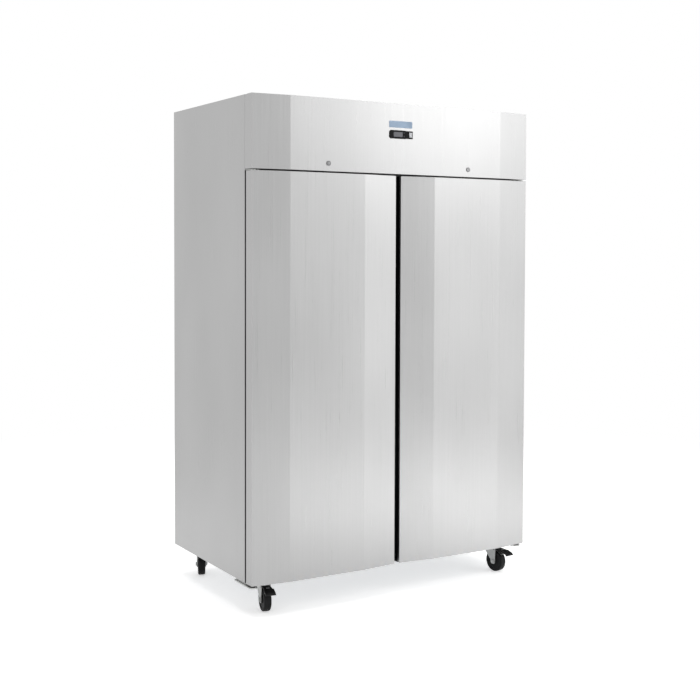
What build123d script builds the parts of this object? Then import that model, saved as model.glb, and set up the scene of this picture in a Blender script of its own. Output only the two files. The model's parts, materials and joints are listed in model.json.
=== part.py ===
from build123d import *
import math
import os

# An upright refrigerator for a professional kitchen: two solid doors with folded fronts under a
# folded header, a condensing unit on top behind the header, and four castors.
# Millimetres. X runs to the right seen from the front, Y from the front to the rear, Z up.
# The origin is on the floor under the middle of the whole footprint.

# Whole cabinet
cabinet_width = 1340.0
panel_depth = 706.0
body_height = 1898.0
castor_height = 127.0
sheet = 1.0
side_wall = 60.0
rear_wall = 50.0
floor_wall = 62.0
ceiling_wall = 60.0
frame_thickness = 12.0
side_flange = 22.0
liner_radius = 12.0

# Front: header and doors share the same three folded bands
door_standoff = 60.0
gasket_gap = 12.5
fold_depth = 17.5
fold_band = 158.0
middle_gap = 25.0
header_height = 287.0
header_gap = 6.5
header_shadow = 1.5

# Door details
lip_return = 12.0
grip_depth = 18.0
grip_wall = 2.0
grip_rear_wall = 6.0
grip_end_wall = 8.0
pan_margin = 52.0
pan_rise = 9.0
gasket_inset = 24.0
gasket_width = 14.0
hinge_inset = 18.0
hinge_setback = 22.0
door_pin_radius = 5.0
bush_radius = 11.0
bush_height = 22.0
pin_reach = 16.0

# Hinge brackets
plate_thickness = 5.0
bracket_drop = 9.0
bracket_width = 44.0
bracket_reach = 97.0
top_plate_thickness = 3.0
top_flange_height = 32.0

# Mullion, uprights, runners and shelves
mullion_width = 80.0
mullion_depth = 50.0
shelf_count = 3
centre_post_half = 58.0
shelf_depth = 636.0
shelf_bar = 8.0
shelf_wire = 4.0
shelf_wire_pitch = 42.0
upright_depth = 16.0
upright_width = 32.0
upright_wall = 2.0
upright_pitch = 100.0
slot_width = 14.0
slot_height = 6.0
runner_height = 20.0
runner_wall = 1.5
runner_ledge = 16.0
first_shelf_height = 180.0
shelf_pitch = 360.0
upright_rise = 150.0
front_upright_setback = 60.0
rear_upright_inset = 90.0

# Evaporator
cover_side_gap = 50.0
cover_depth = 230.0
cover_height = 170.0
evaporator_fan_radius = 66.0
evaporator_fan_spacing = 460.0
coil_width = 760.0
coil_depth = 110.0
coil_height = 110.0
shelf_side_gap = 3.0
cover_slope = 14.0
return_slots = 9
return_slot_pitch = 100.0
return_slot_length = 70.0
shaft_radius = 4.0
evaporator_fan_depth = 26.0

# Condensing unit
condenser_width = 420.0
condenser_height = 210.0
condenser_depth = 60.0
condenser_fan_radius = 92.0
compressor_radius = 82.0
compressor_height = 170.0
pipe_radius = 5.0
box_width = 200.0
box_depth = 150.0
box_height = 90.0
box_side_gap = 330.0
box_setback = 120.0
condenser_x = -170.0
condenser_fan_depth = 34.0
compressor_x = 190.0
compressor_setback = 330.0
suction_reach = 70.0
drier_gap = 60.0
drier_setback = 40.0
drier_length = 130.0
condenser_setback = 55.0
compressor_foot = 14.0
gland_bore_radius = 4.5
gland_length = 26.0
gland_side_gap = 150.0
gland_height = 60.0

# Header controls
controller_width = 77.0
controller_height = 34.0
controller_rise = 3.5
rocker_proud = 2.6
controller_below_top = 126.0
switch_width = 35.0
display_width = 44.0
display_height = 20.0
rocker_width = 13.0
rocker_height = 22.0
rocker_pivot_radius = 1.5
key_size = 5.0
lock_height = 31.0
lock_face_radius = 9.75
lock_body_radius = 8.0
lock_core_radius = 6.0
lock_cam_length = 50.0
lock_cam_width = 14.0
lock_cam_thickness = 3.0
lock_slot_clearance = 3.0
fascia_pin_radius = 3.0
keep_wall = 2.0
ear_radius = 6.0
ear_reach = 28.0
ear_height = 12.0
fascia_cut = 12.0
fascia_top_gap = 2.0
controller_x0 = -56.5
key_offset = 7.0
controller_body_depth = 58.0
lock_slot_width = 62.0
lock_face_rise = 2.5
key_slot = 1.2

# Castors
wheel_radius = 47.0
wheel_width = 30.0
hub_radius = 12.0
castor_trail = 33.0
castor_side_inset = 100.0
castor_front_inset = 43.0
castor_rear_inset = 58.0
castor_plate_x = 92.0
castor_plate_y = 76.0
castor_plate_thickness = 3.0
fork_wall = 3.0
axle_radius = 5.0
race_radius = 29.0
pedal_width = 42.0
bearing_height = 12.0
kingpin_radius = 6.0
kingpin_nut = 6.0
fork_boss = 13.0
pedal_pivot_y = -40.0
pedal_pin_radius = 2.5

# Skins, vents and the gland
gland_hole_radius = 10.0
vent_rows = 4
vent_row_pitch = 36.0
vent_columns = 6
vent_column_pitch = 126.0
vent_length = 96.0
vent_height = 10.0
roof_setback = 2.5
roof_overhang = 0.5
roof_skirt = 20.0
ear_room = 6.0
roof_vents = 8
roof_vent_pitch = 42.0
roof_vent_width = 12.0
roof_vent_length = 260.0
roof_vent_spacing = 380.0
base_lip = 24.0

# Fits
running_clearance = 0.05
seat_clearance = 0.3

# Places worked out from the sizes above
half_width = cabinet_width / 2
switch_proud = controller_rise + rocker_proud
overall_depth = panel_depth + door_standoff + fold_depth + switch_proud
face_front = -overall_depth / 2 + switch_proud
edge_front = face_front + fold_depth
panel_front = edge_front + door_standoff
panel_rear = panel_front + panel_depth
door_rear = panel_front - gasket_gap
base_z = castor_height
top_z = base_z + body_height
header_bottom = top_z - header_height
door_top = header_bottom - header_gap
door_bottom = base_z
door_height = door_top - door_bottom
cavity_floor = base_z + floor_wall
cavity_top = header_bottom - 38.0
machine_floor = cavity_top + ceiling_wall
cavity_half = half_width - side_wall
cavity_rear = panel_rear - rear_wall
frame_rear = panel_front + frame_thickness
hinge_x = half_width - hinge_inset
hinge_y = door_rear - hinge_setback
door_middle = (half_width + middle_gap / 2) / 2


def block(x0, x1, y0, y1, z0, z1):
    """A box given by its six faces."""
    return Pos((x0 + x1) / 2, (y0 + y1) / 2, (z0 + z1) / 2) * Box(x1 - x0, y1 - y0, z1 - z0)


def prism(points, low, high):
    """A plan outline of (x, y) points carried up between two heights."""
    return extrude(Pos(0, 0, low) * Polygon(*points, align=None), amount=high - low, dir=(0, 0, 1))


def side_profile(points, x0, x1):
    """An outline of (y, z) points carried along X."""
    return extrude(Plane.YZ.offset(x0) * Polygon(*points, align=None), amount=x1 - x0, dir=(1, 0, 0))


def front_profile(points, y0, y1):
    """An outline of (x, z) points carried along Y."""
    turned = Plane((0, y0, 0), x_dir=(1, 0, 0), z_dir=(0, -1, 0))
    return extrude(turned * Polygon(*points, align=None), amount=y1 - y0, dir=(0, 1, 0))


def rod(radius, x, y, low, high):
    """An upright cylinder."""
    return Pos(x, y, (low + high) / 2) * Cylinder(radius, high - low)


def rod_y(radius, x, z, y0, y1):
    """A cylinder along Y."""
    return Pos(x, (y0 + y1) / 2, z) * Rot(90, 0, 0) * Cylinder(radius, y1 - y0)


def rod_x(radius, y, z, x0, x1):
    """A cylinder along X."""
    return Pos((x0 + x1) / 2, y, z) * Rot(0, 90, 0) * Cylinder(radius, x1 - x0)


def hexagon_x(radius, y, z, x0, x1):
    """A hexagonal nut or bolt head along X."""
    return extrude(Plane.YZ.offset(x0) * Pos(y, z) * RegularPolygon(radius, 6), amount=x1 - x0)


def save(name, shape):
    """Write one sub-part; its file name is its name in the assembly."""
    if isinstance(shape, (list, tuple)):
        shape = Compound(children=list(shape))
    export_step(shape, f"parts/{name}.step")


def mirrored(shape):
    """The same piece on the other side of the cabinet."""
    return mirror(shape, about=Plane.YZ)


# Cabinet shell

def side_panel():
    """Left side: one skin with flanges turned in at the front and the rear; the front flange stops
    below the machine space, where the header closes the front."""
    x = -half_width
    outline = [
        (x, panel_front), (x + side_flange, panel_front),
        (x + side_flange, panel_front + sheet), (x + sheet, panel_front + sheet),
        (x + sheet, panel_rear - sheet), (x + side_flange, panel_rear - sheet),
        (x + side_flange, panel_rear), (x, panel_rear),
    ]
    skin = prism(outline, base_z, top_z)
    notch = block(x + sheet, x + side_flange, panel_front, panel_front + sheet, machine_floor, top_z)
    return skin - notch


def spread(count, pitch):
    """Places of a row of things about its middle."""
    return [(i - (count - 1) / 2) * pitch for i in range(count)]


def rear_panel():
    """Plain rear skin from the base to the machine space, inside the side panels' flanges."""
    inner = half_width - sheet
    return block(-inner, inner, panel_rear - 2 * sheet, panel_rear - sheet, base_z, machine_floor)


gland_x = half_width - gland_side_gap
gland_z = machine_floor + gland_height


def rear_grille():
    """Rear skin of the machine space with rows of vent slots and the hole for the mains gland."""
    inner = half_width - sheet
    y0, y1 = panel_rear - 2 * sheet, panel_rear - sheet
    plate = block(-inner, inner, y0, y1, machine_floor, top_z - sheet)
    middle = (machine_floor + top_z) / 2
    for z in spread(vent_rows, vent_row_pitch):
        for x in spread(vent_columns, vent_column_pitch):
            plate -= block(x - vent_length / 2, x + vent_length / 2, y0 - 1, y1 + 1,
                           middle + z - vent_height / 2, middle + z + vent_height / 2)
    return plate - rod_y(gland_hole_radius + running_clearance, gland_x, gland_z, y0 - 1, y1 + 1)


def roof_cover():
    """Roof over the machine space with three groups of vent slots and a skirt behind the header."""
    inner = half_width - sheet
    front = panel_front + roof_setback
    plate = block(-inner, inner, panel_front - roof_overhang, panel_rear - sheet, top_z - sheet, top_z)
    middle = (panel_front + panel_rear) / 2
    half_long, half_wide = roof_vent_length / 2, roof_vent_width / 2
    for x in spread(3, roof_vent_spacing):
        for y in spread(roof_vents, roof_vent_pitch):
            plate -= block(x - half_long, x + half_long, middle + y - half_wide, middle + y + half_wide,
                           top_z - sheet - 1, top_z + 1)
    side = inner - ear_room
    skirt = block(-side, side, front, front + sheet, top_z - roof_skirt, top_z - sheet)
    return plate + skirt


def roof_tray():
    """Top skin of the insulated box, which carries the condensing unit."""
    inner = half_width - sheet
    return block(-inner, inner, panel_front + sheet, panel_rear - 2 * sheet,
                 machine_floor - sheet, machine_floor)


def base_pan():
    """Bottom pan with its edges turned up against the sides and the rear."""
    inner = half_width - sheet
    rear = panel_rear - 2 * sheet
    outer = block(-inner, inner, frame_rear, rear, base_z, base_z + base_lip)
    return outer - block(-inner + sheet, inner - sheet, frame_rear - 1, rear - sheet,
                         base_z + sheet, base_z + base_lip + 1)


def cavity_box(grow):
    """The food space grown by a wall, with rounded corners, open to the front."""
    front = frame_rear - 1
    box = block(-cavity_half - grow, cavity_half + grow, front, cavity_rear + grow,
                cavity_floor - grow, cavity_top + grow)
    box = fillet(box.edges().filter_by(Axis.Y), liner_radius + grow)
    return box - block(-half_width, half_width, front - 1, frame_rear, base_z, top_z)


def inner_liner():
    """One pressed liner with rounded corners all round."""
    return cavity_box(sheet) - cavity_box(0) - block(
        -cavity_half + liner_radius, cavity_half - liner_radius, frame_rear - 1, frame_rear + sheet,
        cavity_floor, cavity_top)


def insulation():
    """Foam that fills the walls between the skins and the liner."""
    inner = half_width - sheet
    rear = panel_rear - 2 * sheet
    foam = block(-inner, inner, frame_rear, rear, base_z + sheet, machine_floor - sheet)
    foam -= cavity_box(sheet)
    for x0, x1 in ((-inner, -inner + sheet), (inner - sheet, inner)):
        foam -= block(x0, x1, frame_rear - 1, rear + 1, base_z, base_z + base_lip)
    return foam - block(-inner, inner, rear - sheet, rear + 1, base_z, base_z + base_lip)


def front_frame():
    """Plastic frame round the food space, flush with the side panels' front flanges."""
    outer = half_width - side_flange
    ring = block(-outer, outer, panel_front, frame_rear, base_z, machine_floor - sheet)
    ring -= block(-cavity_half, cavity_half, panel_front - 1, frame_rear + 1, cavity_floor, cavity_top)
    tongue = block(-half_width + sheet, half_width - sheet, panel_front + sheet, frame_rear,
                   base_z, machine_floor - sheet)
    tongue -= block(-outer, outer, panel_front, frame_rear + 1, base_z - 1, machine_floor)
    return ring + tongue - block(-half_width, half_width, panel_front + sheet, frame_rear + 1,
                                 machine_floor - sheet, machine_floor)


def mullion():
    """Fixed post between the two doorways, with a shallow channel down its face."""
    x, y = mullion_width / 2, panel_front + mullion_depth
    groove = 1.5
    outline = [
        (-x, panel_front), (-groove * 4, panel_front), (-groove * 3, panel_front + groove),
        (groove * 3, panel_front + groove), (groove * 4, panel_front), (x, panel_front),
        (x, y - 8), (x - 8, y), (-x + 8, y), (-x, y - 8),
    ]
    return prism(outline, cavity_floor, cavity_top)


# Doors, drawn for the left doorway

def front_outline(x0, x1, inset, rear):
    """Plan outline of a folded front between two sides, inset by a wall, back to a rear plane."""
    slope = math.atan2(fold_depth, fold_band)
    shift = inset * math.tan(slope / 2)
    return [
        (x0 + inset, rear), (x0 + inset, edge_front + inset - shift),
        (x0 + fold_band + shift, face_front + inset), (x1 - fold_band - shift, face_front + inset),
        (x1 - inset, edge_front + inset - shift), (x1 - inset, rear),
    ]


door_x0 = -half_width
door_x1 = -middle_gap / 2
lip_rear = edge_front + lip_return
grip_x = door_x1 - grip_depth
lock_x = -door_middle
lock_z = header_bottom + lock_height
lock_slot_y0 = face_front + 25.0
lock_slot_y1 = lock_slot_y0 + lock_cam_thickness + 2 * lock_slot_clearance
lock_slot_x0 = lock_x - lock_cam_width / 2 - lock_slot_clearance
lock_slot_x1 = lock_slot_x0 + lock_slot_width
keep_depth = lock_height + header_gap
keep_bottom = lock_z - lock_cam_length - lock_slot_clearance


def fold_wrap(x0, x1, rear, low, high):
    """One sheet folded round the front and both sides, open above, below and behind."""
    outer = prism(front_outline(x0, x1, 0, rear), low, high)
    return outer - prism(front_outline(x0, x1, sheet, rear + 1), low - 1, high + 1)


def door_skin():
    """Outer steel of the door: the folded front with its hinge side and free lip, and two end caps."""
    wrap = fold_wrap(door_x0, door_x1, door_rear, door_bottom + sheet, door_top - sheet)
    behind_lip = block(grip_x, door_x1 + 1, lip_rear, door_rear + 1, door_bottom - 1, door_top + 1)
    solids = [wrap - behind_lip]
    for low in (door_top - sheet, door_bottom):
        cap = prism(front_outline(door_x0, door_x1, 0, door_rear), low, low + sheet)
        solids.append(cap - rod(bush_radius + running_clearance, -hinge_x, hinge_y, low - 1, low + sheet + 1))
    solids[1] -= block(lock_slot_x0 - keep_wall, lock_slot_x1 + keep_wall, lock_slot_y0 - keep_wall,
                       lock_slot_y1 + keep_wall, door_top - sheet - 1, door_top + 1)
    return solids


def door_grip():
    """Black channel down the free edge, closed at its ends: fingers pull on its front wall."""
    outline = [
        (grip_x, lip_rear), (door_x1, lip_rear), (door_x1, lip_rear + grip_wall),
        (grip_x + grip_wall, lip_rear + grip_wall), (grip_x + grip_wall, door_rear - grip_rear_wall),
        (door_x1, door_rear - grip_rear_wall), (door_x1, door_rear), (grip_x, door_rear),
    ]
    low, high = door_bottom + sheet, door_top - sheet
    channel = prism(outline, low, high)
    for z in (low, high - grip_end_wall):
        channel += block(grip_x, door_x1, lip_rear, door_rear, z, z + grip_end_wall)
    return channel


def door_pan(grow=0.0):
    """Raised field of the door's inner pan."""
    x0, x1 = door_x0 + pan_margin + grow, door_x1 - pan_margin - grow
    z0, z1 = door_bottom + pan_margin + grow, door_top - pan_margin - grow
    face = Pos((x0 + x1) / 2, (z0 + z1) / 2) * Rectangle(x1 - x0, z1 - z0)
    return extrude(Plane.XZ.offset(-door_rear) * face, amount=-(pan_rise - grow), taper=30)


def door_liner():
    """Inner pan: a flat rim with a raised field that keeps the food side stiff."""
    rim = block(door_x0 + sheet, grip_x, door_rear - sheet, door_rear, door_bottom + sheet, door_top - sheet)
    field = door_pan()
    hollow = door_pan(sheet)
    x0, x1 = door_x0 + pan_margin + sheet, door_x1 - pan_margin - sheet
    z0, z1 = door_bottom + pan_margin + sheet, door_top - pan_margin - sheet
    pan = rim + field - hollow - block(x0, x1, door_rear - sheet - 1, door_rear, z0, z1)
    for low, high in ((door_top - bush_height, door_top), (door_bottom, door_bottom + bush_height)):
        pan -= rod(bush_radius, -hinge_x, hinge_y, low, high)
    return pan


def door_core():
    """Foam between the door's skin and its inner pan."""
    outline = front_outline(door_x0, door_x1, sheet, door_rear - sheet)
    foam = prism(outline, door_bottom + sheet, door_top - sheet)
    foam -= block(grip_x, door_x1 + 1, lip_rear, door_rear, door_bottom, door_top)
    for low, high in ((door_top - bush_height, door_top), (door_bottom, door_bottom + bush_height)):
        foam -= rod(bush_radius, -hinge_x, hinge_y, low, high)
    return foam - block(lock_slot_x0 - keep_wall, lock_slot_x1 + keep_wall, lock_slot_y0 - keep_wall,
                        lock_slot_y1 + keep_wall, keep_bottom - keep_wall, door_top)


def door_gasket():
    """Magnetic gasket: a wide foot on the pan and a narrower bulb that meets the frame."""
    x0, x1 = door_x0 + gasket_inset, grip_x - 2.0
    z0, z1 = door_bottom + gasket_inset / 2, door_top - gasket_inset / 2
    front, rear = door_rear, panel_front - seat_clearance
    waist = front + (rear - front) * 0.4

    def ring(inset, width, y0, y1):
        outer = block(x0 + inset, x1 - inset, y0, y1, z0 + inset, z1 - inset)
        inner = inset + width
        return outer - block(x0 + inner, x1 - inner, y0 - 1, y1 + 1, z0 + inner, z1 - inner)

    return ring(0, gasket_width, front, waist) + ring(2.0, gasket_width - 4.0, waist - 0.5, rear)


def door_fittings():
    """Plastic pieces let into the door: top bush, bottom bush with its bearing collar, and lock keep."""
    bore = door_pin_radius + running_clearance
    top = rod(bush_radius, -hinge_x, hinge_y, door_top - bush_height, door_top)
    top -= rod(bore, -hinge_x, hinge_y, door_top - bush_height + 3, door_top + 1)
    collar_bottom = base_z - bracket_drop + seat_clearance
    bottom = rod(bush_radius, -hinge_x, hinge_y, collar_bottom, door_bottom + bush_height)
    bottom -= rod(bore, -hinge_x, hinge_y, collar_bottom - 1, door_bottom + bush_height - 3)
    keep = block(lock_slot_x0 - keep_wall, lock_slot_x1 + keep_wall, lock_slot_y0 - keep_wall,
                 lock_slot_y1 + keep_wall, keep_bottom - keep_wall, door_top)
    keep -= block(lock_slot_x0, lock_slot_x1, lock_slot_y0, lock_slot_y1, keep_bottom, door_top + 1)
    return [top, bottom, keep]


# Hinge brackets, drawn for the left door

def bracket_plate(nose, rear, low, high, z0, z1):
    """Plate that ends in a round nose about the hinge pin."""
    x0, x1 = sorted((low, high))
    return block(x0, x1, hinge_y, rear, z0, z1) + rod(nose, -hinge_x, hinge_y, z0, z1)


def hinge_bracket_bottom():
    """Plate screwed up under the cabinet on a pad, with the pin that carries the door."""
    low = -half_width + 1
    plate_top = base_z - bracket_drop
    rear = panel_front + bracket_reach
    plate = bracket_plate(hinge_inset - 1, rear, low, low + bracket_width,
                          plate_top - plate_thickness, plate_top)
    pad = block(low + 8, low + bracket_width - 4, panel_front + 6, rear, plate_top, base_z)
    pin = rod(door_pin_radius, -hinge_x, hinge_y, plate_top, door_bottom + pin_reach)
    bracket = plate + pad + pin
    for y in (panel_front + 30, rear - 20):
        low_face = plate_top - plate_thickness
        bracket += extrude(Pos(low + bracket_width / 2, y, low_face - 3) * RegularPolygon(6.5, 6), amount=3)
    return bracket


def hinge_bracket_top():
    """Angle screwed to the frame behind the header, with the pin that steadies the door."""
    low = -half_width + 2
    high = low + bracket_width
    z0 = door_top + (header_gap - top_plate_thickness) / 2
    plate = bracket_plate(hinge_inset - 2, panel_front, low, high, z0, z0 + top_plate_thickness)
    front = panel_front - top_plate_thickness
    bracket = plate + block(low, high, front, panel_front, z0, z0 + top_flange_height)
    bracket += rod(door_pin_radius, -hinge_x, hinge_y, door_top - pin_reach, z0)
    for x in (low + 12, high - 12):
        head = Plane.XZ.offset(-front) * Pos(x, z0 + top_flange_height - 12) * RegularPolygon(5.5, 6)
        bracket += extrude(head, amount=3.0, dir=(0, -1, 0))
    return bracket


# Header fascia

fascia_rear = panel_front - header_shadow
fascia_pivot_y = fascia_rear - ear_radius
fascia_pivot_z = top_z - ear_radius - 2.0
controller_z = top_z - controller_below_top
controller_x1 = controller_x0 + controller_width
switch_x1 = controller_x1 + switch_width


def fascia_panel():
    """Folded header over the machine space, closed above and below; it pivots up about two pins
    at its rear top corners."""
    wrap = fold_wrap(-half_width, half_width, fascia_rear, header_bottom + sheet, top_z - sheet)
    wrap -= block(-half_width - 1, half_width + 1, fascia_pivot_y - fascia_top_gap, fascia_rear + 1,
                  fascia_pivot_z, top_z + 1)
    for side in (-1, 1):
        x0, x1 = sorted((side * half_width, side * (half_width - sheet)))
        wrap += rod_x(ear_radius, fascia_pivot_y, fascia_pivot_z, x0, x1)
        wrap -= rod_x(fascia_pin_radius + running_clearance, fascia_pivot_y, fascia_pivot_z, x0 - 1, x1 + 1)
        wrap -= rod_y(lock_body_radius, side * lock_x, lock_z, face_front - 1, face_front + sheet + 1)
    wrap -= block(controller_x0 + 3, switch_x1 - 3, face_front - 1, face_front + sheet + 1,
                  controller_z - controller_height / 2 + 3, controller_z + controller_height / 2 - 3)
    rear = fascia_pivot_y - fascia_top_gap
    top = prism(front_outline(-half_width, half_width, 0, rear), top_z - sheet, top_z)
    for side in (-1, 1):
        x0, x1 = sorted((side * (half_width + 1), side * (half_width - sheet - ear_room)))
        top -= block(x0, x1, rear - ear_height, rear + 1, top_z - sheet - 1, top_z + 1)
    bottom = prism(front_outline(-half_width, half_width, 0, fascia_rear - fascia_cut), header_bottom,
                   header_bottom + sheet)
    slot = block(lock_slot_x0, lock_slot_x1, lock_slot_y0, lock_slot_y1,
                 header_bottom - 1, header_bottom + sheet + 1)
    return [wrap, top, bottom - slot - mirrored(slot)]


def fascia_ears():
    """Plates on the side panels' inner faces with the pins that the header pivots on."""
    x1 = half_width - sheet - seat_clearance
    x0 = x1 - 2.0
    rear = panel_front + ear_reach
    low, high = fascia_pivot_z - ear_height, fascia_pivot_z + ear_radius
    plate = block(x0, x1, fascia_pivot_y, rear, low, high)
    plate += rod_x(ear_radius, fascia_pivot_y, fascia_pivot_z, x0, x1)
    pin = rod_x(fascia_pin_radius, fascia_pivot_y, fascia_pivot_z, x0, half_width)
    seat = block(x1, x1 + seat_clearance, panel_front + ear_radius, rear, low, high)
    right = plate + pin + seat
    return [mirrored(right), right]


def round_left_outline(x0, x1, z0, z1, radius, y0, y1):
    """A plate on the header whose left end is rounded."""
    sketch = Pos((x0 + x1) / 2, (z0 + z1) / 2) * Rectangle(x1 - x0, z1 - z0)
    left = sketch.vertices().sort_by(Axis.X)[:2]
    sketch = fillet(left, radius)
    return extrude(Plane.XZ.offset(-y0) * sketch, amount=y0 - y1)


display_x0 = controller_x0 + 19.0
key_x = controller_x0 + 69.5


def controller():
    """Digital thermostat: a black bezel with a display window and two keys, and its box behind."""
    z0, z1 = controller_z - controller_height / 2, controller_z + controller_height / 2
    bezel = round_left_outline(controller_x0, controller_x1 - 0.5, z0, z1, 9.0,
                               face_front - controller_rise, face_front)
    box = block(controller_x0 + 3.3, controller_x1 - 3, face_front, face_front + controller_body_depth,
                z0 + 3.3, z1 - 3.3)
    body = bezel + box
    half = display_height / 2
    body -= block(display_x0, display_x0 + display_width, face_front - controller_rise - 1,
                  face_front - controller_rise + 2.0, controller_z - half, controller_z + half)
    half = key_size / 2 + 0.3
    for offset in (-key_offset, key_offset):
        z = controller_z + offset
        body -= block(key_x - half, key_x + half, face_front - controller_rise - 1, face_front + 1.5,
                      z - half, z + half)
    return body


def controller_display():
    """Clear lens over the display, let into the bezel."""
    y0 = face_front - controller_rise + 0.8
    return block(display_x0, display_x0 + display_width, y0, y0 + 1.2,
                 controller_z - display_height / 2, controller_z + display_height / 2)


def controller_key(offset):
    """One key, standing a little proud of the bezel with room to press in."""
    half = key_size / 2
    z = controller_z + offset
    return block(key_x - half, key_x + half, face_front - controller_rise - 0.8, face_front + 0.4,
                 z - half, z + half)


rocker_x = switch_x1 - 4.0 - rocker_width / 2
rocker_pivot_y = face_front + 3.0


def rocker_housing():
    """Black switch housing beside the thermostat, with a well for the rocker."""
    z0, z1 = controller_z - controller_height / 2 + 1.5, controller_z + controller_height / 2 - 1.5
    body = block(controller_x1, switch_x1, face_front - controller_rise, face_front, z0, z1)
    body += block(controller_x1 + 1, switch_x1 - 3.3, face_front, face_front + 30.0, z0 + 2, z1 - 2)
    half_x, half_z = rocker_width / 2 + 0.4, rocker_height / 2 + 1.0
    body -= block(rocker_x - half_x, rocker_x + half_x, face_front - controller_rise - 1, face_front + 16.0,
                  controller_z - half_z, controller_z + half_z)
    for side in (-1, 1):
        x0, x1 = sorted((rocker_x + side * (half_x - 0.1), rocker_x + side * (half_x + 1.6)))
        body -= rod_x(rocker_pivot_radius + running_clearance, rocker_pivot_y, controller_z, x0, x1)
    return body


def power_rocker():
    """Rocker with its two faces at an angle and a pivot through its middle, stored switched on."""
    half = rocker_height / 2
    front = face_front - controller_rise
    end, back = half - 1.0, rocker_pivot_y + 5.0
    outline = [
        (front - rocker_proud, controller_z - end), (front - 0.2, controller_z),
        (front - 0.4, controller_z + end), (rocker_pivot_y - 1.0, controller_z + end),
        (back, controller_z + 3.5), (back, controller_z - 3.5), (rocker_pivot_y - 1.0, controller_z - end),
    ]
    x0, x1 = rocker_x - rocker_width / 2, rocker_x + rocker_width / 2
    pivot = rod_x(rocker_pivot_radius, rocker_pivot_y, controller_z, x0 - 1.4, x1 + 1.4)
    return side_profile(outline, x0, x1) + pivot


lock_body_rear = lock_slot_y0 + lock_slot_clearance - 1.0


def lock_body(x):
    """Fixed sleeve of a cylinder lock, with its round face in front and a nut behind the header."""
    face = rod_y(lock_face_radius, x, lock_z, face_front - lock_face_rise, face_front)
    sleeve = rod_y(lock_body_radius - running_clearance, x, lock_z, face_front, lock_body_rear)
    nut = Plane.XZ.offset(-face_front - sheet) * Pos(x, lock_z) * RegularPolygon(12.0, 6)
    core = rod_y(lock_core_radius + running_clearance, x, lock_z,
                 face_front - lock_face_rise - 1, lock_body_rear + 1)
    return face + sleeve + extrude(nut, amount=5.0, dir=(0, 1, 0)) - core


def lock_cylinder(x, way):
    """Turning core with its key slot and cam; the cam lies level when the door is unlocked."""
    y0 = lock_body_rear + 1.0
    y1 = y0 + lock_cam_thickness
    core = rod_y(lock_core_radius, x, lock_z, face_front - lock_face_rise, y0)
    core -= block(x - key_slot / 2, x + key_slot / 2, face_front - lock_face_rise - 1, face_front + 4,
                  lock_z - 4, lock_z + 4)
    half, tip = lock_cam_width / 2, x + way * lock_cam_length
    start, shoulder = x - way * half, tip - way * half * 0.6
    arm = [(start, lock_z - half), (shoulder, lock_z - half), (tip, lock_z - half * 0.4),
           (tip, lock_z + half * 0.4), (shoulder, lock_z + half), (start, lock_z + half)]
    return core + front_profile(arm, y0, y1)


# Inside the food space

def wall_upright(y):
    """Slotted upright on the left wall, a shallow channel with its web facing the shelf."""
    x0 = -cavity_half
    x1 = x0 + upright_depth
    half = upright_width / 2
    outline = [
        (x0, y - half), (x1, y - half), (x1, y + half), (x0, y + half),
        (x0, y + half - upright_wall), (x1 - upright_wall, y + half - upright_wall),
        (x1 - upright_wall, y - half + upright_wall), (x0, y - half + upright_wall),
    ]
    post = prism(outline, upright_low, upright_high)
    for z in slot_heights():
        post -= block(x1 - upright_wall - 1, x1 + 1, y - slot_width / 2, y + slot_width / 2,
                      z - slot_height / 2, z + slot_height / 2)
    return post


def centre_upright(y, top):
    """Slotted square post between the two bays, open to both."""
    half_x = centre_post_half
    half = upright_width / 2
    post = block(-half_x, half_x, y - half, y + half, cavity_floor, top)
    post -= block(-half_x + upright_wall, half_x - upright_wall, y - half + upright_wall,
                  y + half - upright_wall, cavity_floor - 1, top + 1)
    for z in slot_heights():
        post -= block(-half_x - 1, half_x + 1, y - slot_width / 2, y + slot_width / 2,
                      z - slot_height / 2, z + slot_height / 2)
    return post


upright_low = cavity_floor + 20.0
upright_high = cavity_floor + first_shelf_height + (shelf_count - 1) * shelf_pitch + upright_rise
bay_outer = -cavity_half + upright_depth
bay_inner = -centre_post_half
shelf_width = bay_inner - bay_outer - 2 * shelf_side_gap
shelf_x0 = bay_outer + shelf_side_gap
shelf_y1 = cavity_rear - 6.0
shelf_y0 = shelf_y1 - shelf_depth
front_upright_y = panel_front + mullion_depth + front_upright_setback
rear_upright_y = cavity_rear - rear_upright_inset
shelf_heights = [cavity_floor + first_shelf_height + i * shelf_pitch for i in range(shelf_count)]


def slot_heights():
    """Heights of the slots up an upright."""
    count = int((upright_high - upright_low - 60.0) / upright_pitch) + 1
    return [upright_low + 30.0 + i * upright_pitch for i in range(count)]


def shelf_uprights():
    """Two uprights on each side wall and two posts between the bays."""
    walls = [wall_upright(y) for y in (front_upright_y, rear_upright_y)]
    centres = [centre_upright(front_upright_y, cavity_top), centre_upright(rear_upright_y, cover_bottom)]
    return walls + [mirrored(w) for w in walls] + centres


def runner(x, way, z):
    """Angle that hangs on a pair of uprights; its ledge carries one side of a shelf."""
    w, t = way * runner_wall, runner_wall
    tip = x + way * (runner_ledge + shelf_side_gap)
    top = z + runner_height
    outline = [(x, z - t), (tip, z - t), (tip, z), (x + w, z), (x + w, top), (x, top)]
    return front_profile(outline, front_upright_y - upright_width, rear_upright_y + upright_width)


def shelf_runners():
    """A pair of runners under each shelf, in both bays."""
    left = []
    for z in shelf_heights:
        left += [runner(bay_outer, 1, z), runner(bay_inner, -1, z)]
    return left + [mirrored(r) for r in left]


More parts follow.
